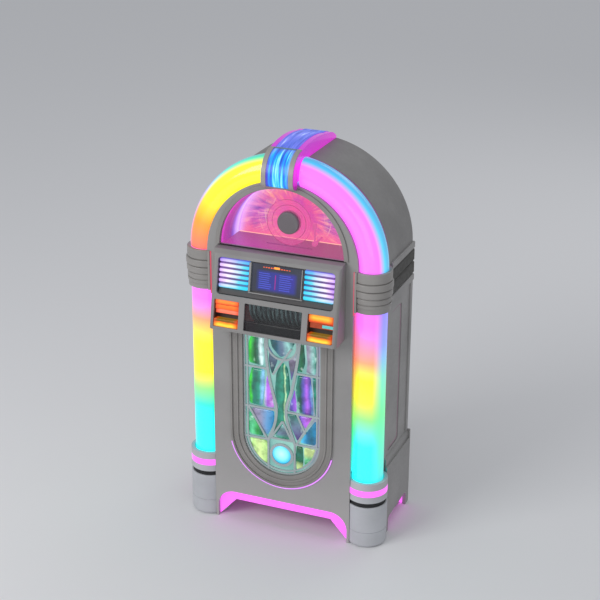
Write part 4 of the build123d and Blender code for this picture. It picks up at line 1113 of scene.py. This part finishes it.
def housing_shadow_strip():
    """A dark bead in the joint between the housing's top and the dome's trim ring, standing in for the shadow
    there: painted shade.
    """
    half = HOUSING_HIGH.x - 0.002
    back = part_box("dome_ring")[1].y
    foot = HOUSING_HIGH.z - 0.0005
    angles = [math.pi * step / 8 for step in range(9)]
    section = [(back - BEAD_OUT * math.sin(a) - 0.0002,
                foot + BEAD_RISE - BEAD_RISE * math.cos(a)) for a in angles]
    # Painted shade: a near-black strip where the housing meets the trim ring.
    bar("housing_shadow_strip", half, section, paint("shadow_strip_black", (0.012, 0.012, 0.013), 0.7))


housing_shadow_strip()

# ---- Joint across the crown's lens ----

JOINT_FOOT, JOINT_BACK = Vector((0, -0.112, 1.5262)), Vector((0, -0.105, 1.5277))


def crown_joint():
    """A slim bar over the lens where the frame's side rails end, following the lens's slope."""
    foot, back = JOINT_FOOT, JOINT_BACK
    up = Vector((0, -(back - foot).z, (back - foot).y)).normalized()
    section = [foot - up * 0.001, foot + up * 0.0022, foot.lerp(back, 0.5) + up * 0.0030, back + up * 0.0022,
               back - up * 0.001]
    teal = paint("joint_paint", (0.16, 0.27, 0.30), 0.35)
    bar("crown_joint", LENS_EDGE - 0.0006, [(point.y, point.z) for point in section], teal,
        smooth=False)


crown_joint()

# ---- Side inlays ----

# The inlay's line: Y from and to, Z from and to, the radius of its corners and its width, in mm.
INLAY = (4, 124, 344, 911)
INLAY_RADIUS, INLAY_WIDTH = 18, 2.2


def side_inlay(side):
    """A thin pink line let into the recessed field of a side panel, made to glow a little though it is no
    lamp: painted light.
    """
    face_x = side * (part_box("right_side_panel")[1].x - 0.0095)
    y0, y1, z0, z1 = INLAY
    r = INLAY_RADIUS
    path = []
    corners = ((y1 - r, z0 + r, -90), (y1 - r, z1 - r, 0), (y0 + r, z1 - r, 90), (y0 + r, z0 + r, 180))
    for cy, cz, start in corners:
        for step in range(9):
            angle = math.radians(start + 90 * step / 8)
            path.append((cy + r * math.cos(angle), cz + r * math.sin(angle), math.cos(angle),
                         math.sin(angle)))
    verts, faces = [], []
    for y, z, out_y, out_z in path:
        for inset, rise in ((0, 0.05), (0, 0.5), (INLAY_WIDTH, 0.5), (INLAY_WIDTH, 0.05)):
            verts.append((face_x + side * rise * MM, (y - out_y * inset) * MM, (z - out_z * inset) * MM))
    count = len(path)
    for i in range(count):
        j = (i + 1) % count
        for k in range(4):
            m = (k + 1) % 4
            faces.append([i * 4 + k, j * 4 + k, j * 4 + m, i * 4 + m])
    label = "right" if side > 0 else "left"
    piece(f"{label}_inlay", verts, faces, inlay_glow_pink, smooth=False)


# Painted light: the inlay glows faintly.
inlay_glow_pink = lens("inlay_glow_pink", (0.42, 0.17, 0.30), 0.35)
side_inlay(1)
side_inlay(-1)

# ---- Room ----

FLOOR_REACH = 40.0


def make_floor():
    """A plain pale floor."""
    mesh = bpy.data.meshes.new("floor")
    corners = [(x * FLOOR_REACH, y * FLOOR_REACH, 0) for x, y in ((-1, -1), (1, -1), (1, 1), (-1, 1))]
    mesh.from_pydata(corners, [], [(0, 1, 2, 3)])
    floor = bpy.data.objects.new("floor", mesh)
    scene.collection.objects.link(floor)
    g = Graph("floor")
    g.set(Base_Color=(0.80, 0.80, 0.81, 1), Roughness=1.0, Specular_IOR_Level=0.0)
    mesh.materials.append(g.material)


def area_light(name, place, power, size):
    """A square light that faces the object."""
    light = bpy.data.lights.new(name, "AREA")
    light.energy, light.size = power, size
    lamp = bpy.data.objects.new(name, light)
    lamp.location = place
    lamp.rotation_euler = (AIM - Vector(place)).to_track_quat("-Z", "Y").to_euler()
    scene.collection.objects.link(lamp)


make_floor()
area_light("key_light", (-2.6, -4.4, 3.4), 130, 3.0)
area_light("fill_light", (2.0, -4.8, 1.2), 22, 2.6)
area_light("rim_light", (1.5, 4.5, 4.0), 30, 3.0)
world = bpy.data.worlds.new("studio")
world.use_nodes = True
world.node_tree.nodes["Background"].inputs["Color"].default_value = (0.80, 0.82, 0.86, 1)
world.node_tree.nodes["Background"].inputs["Strength"].default_value = 0.60
scene.world = world
scene.view_settings.view_transform = "Standard"
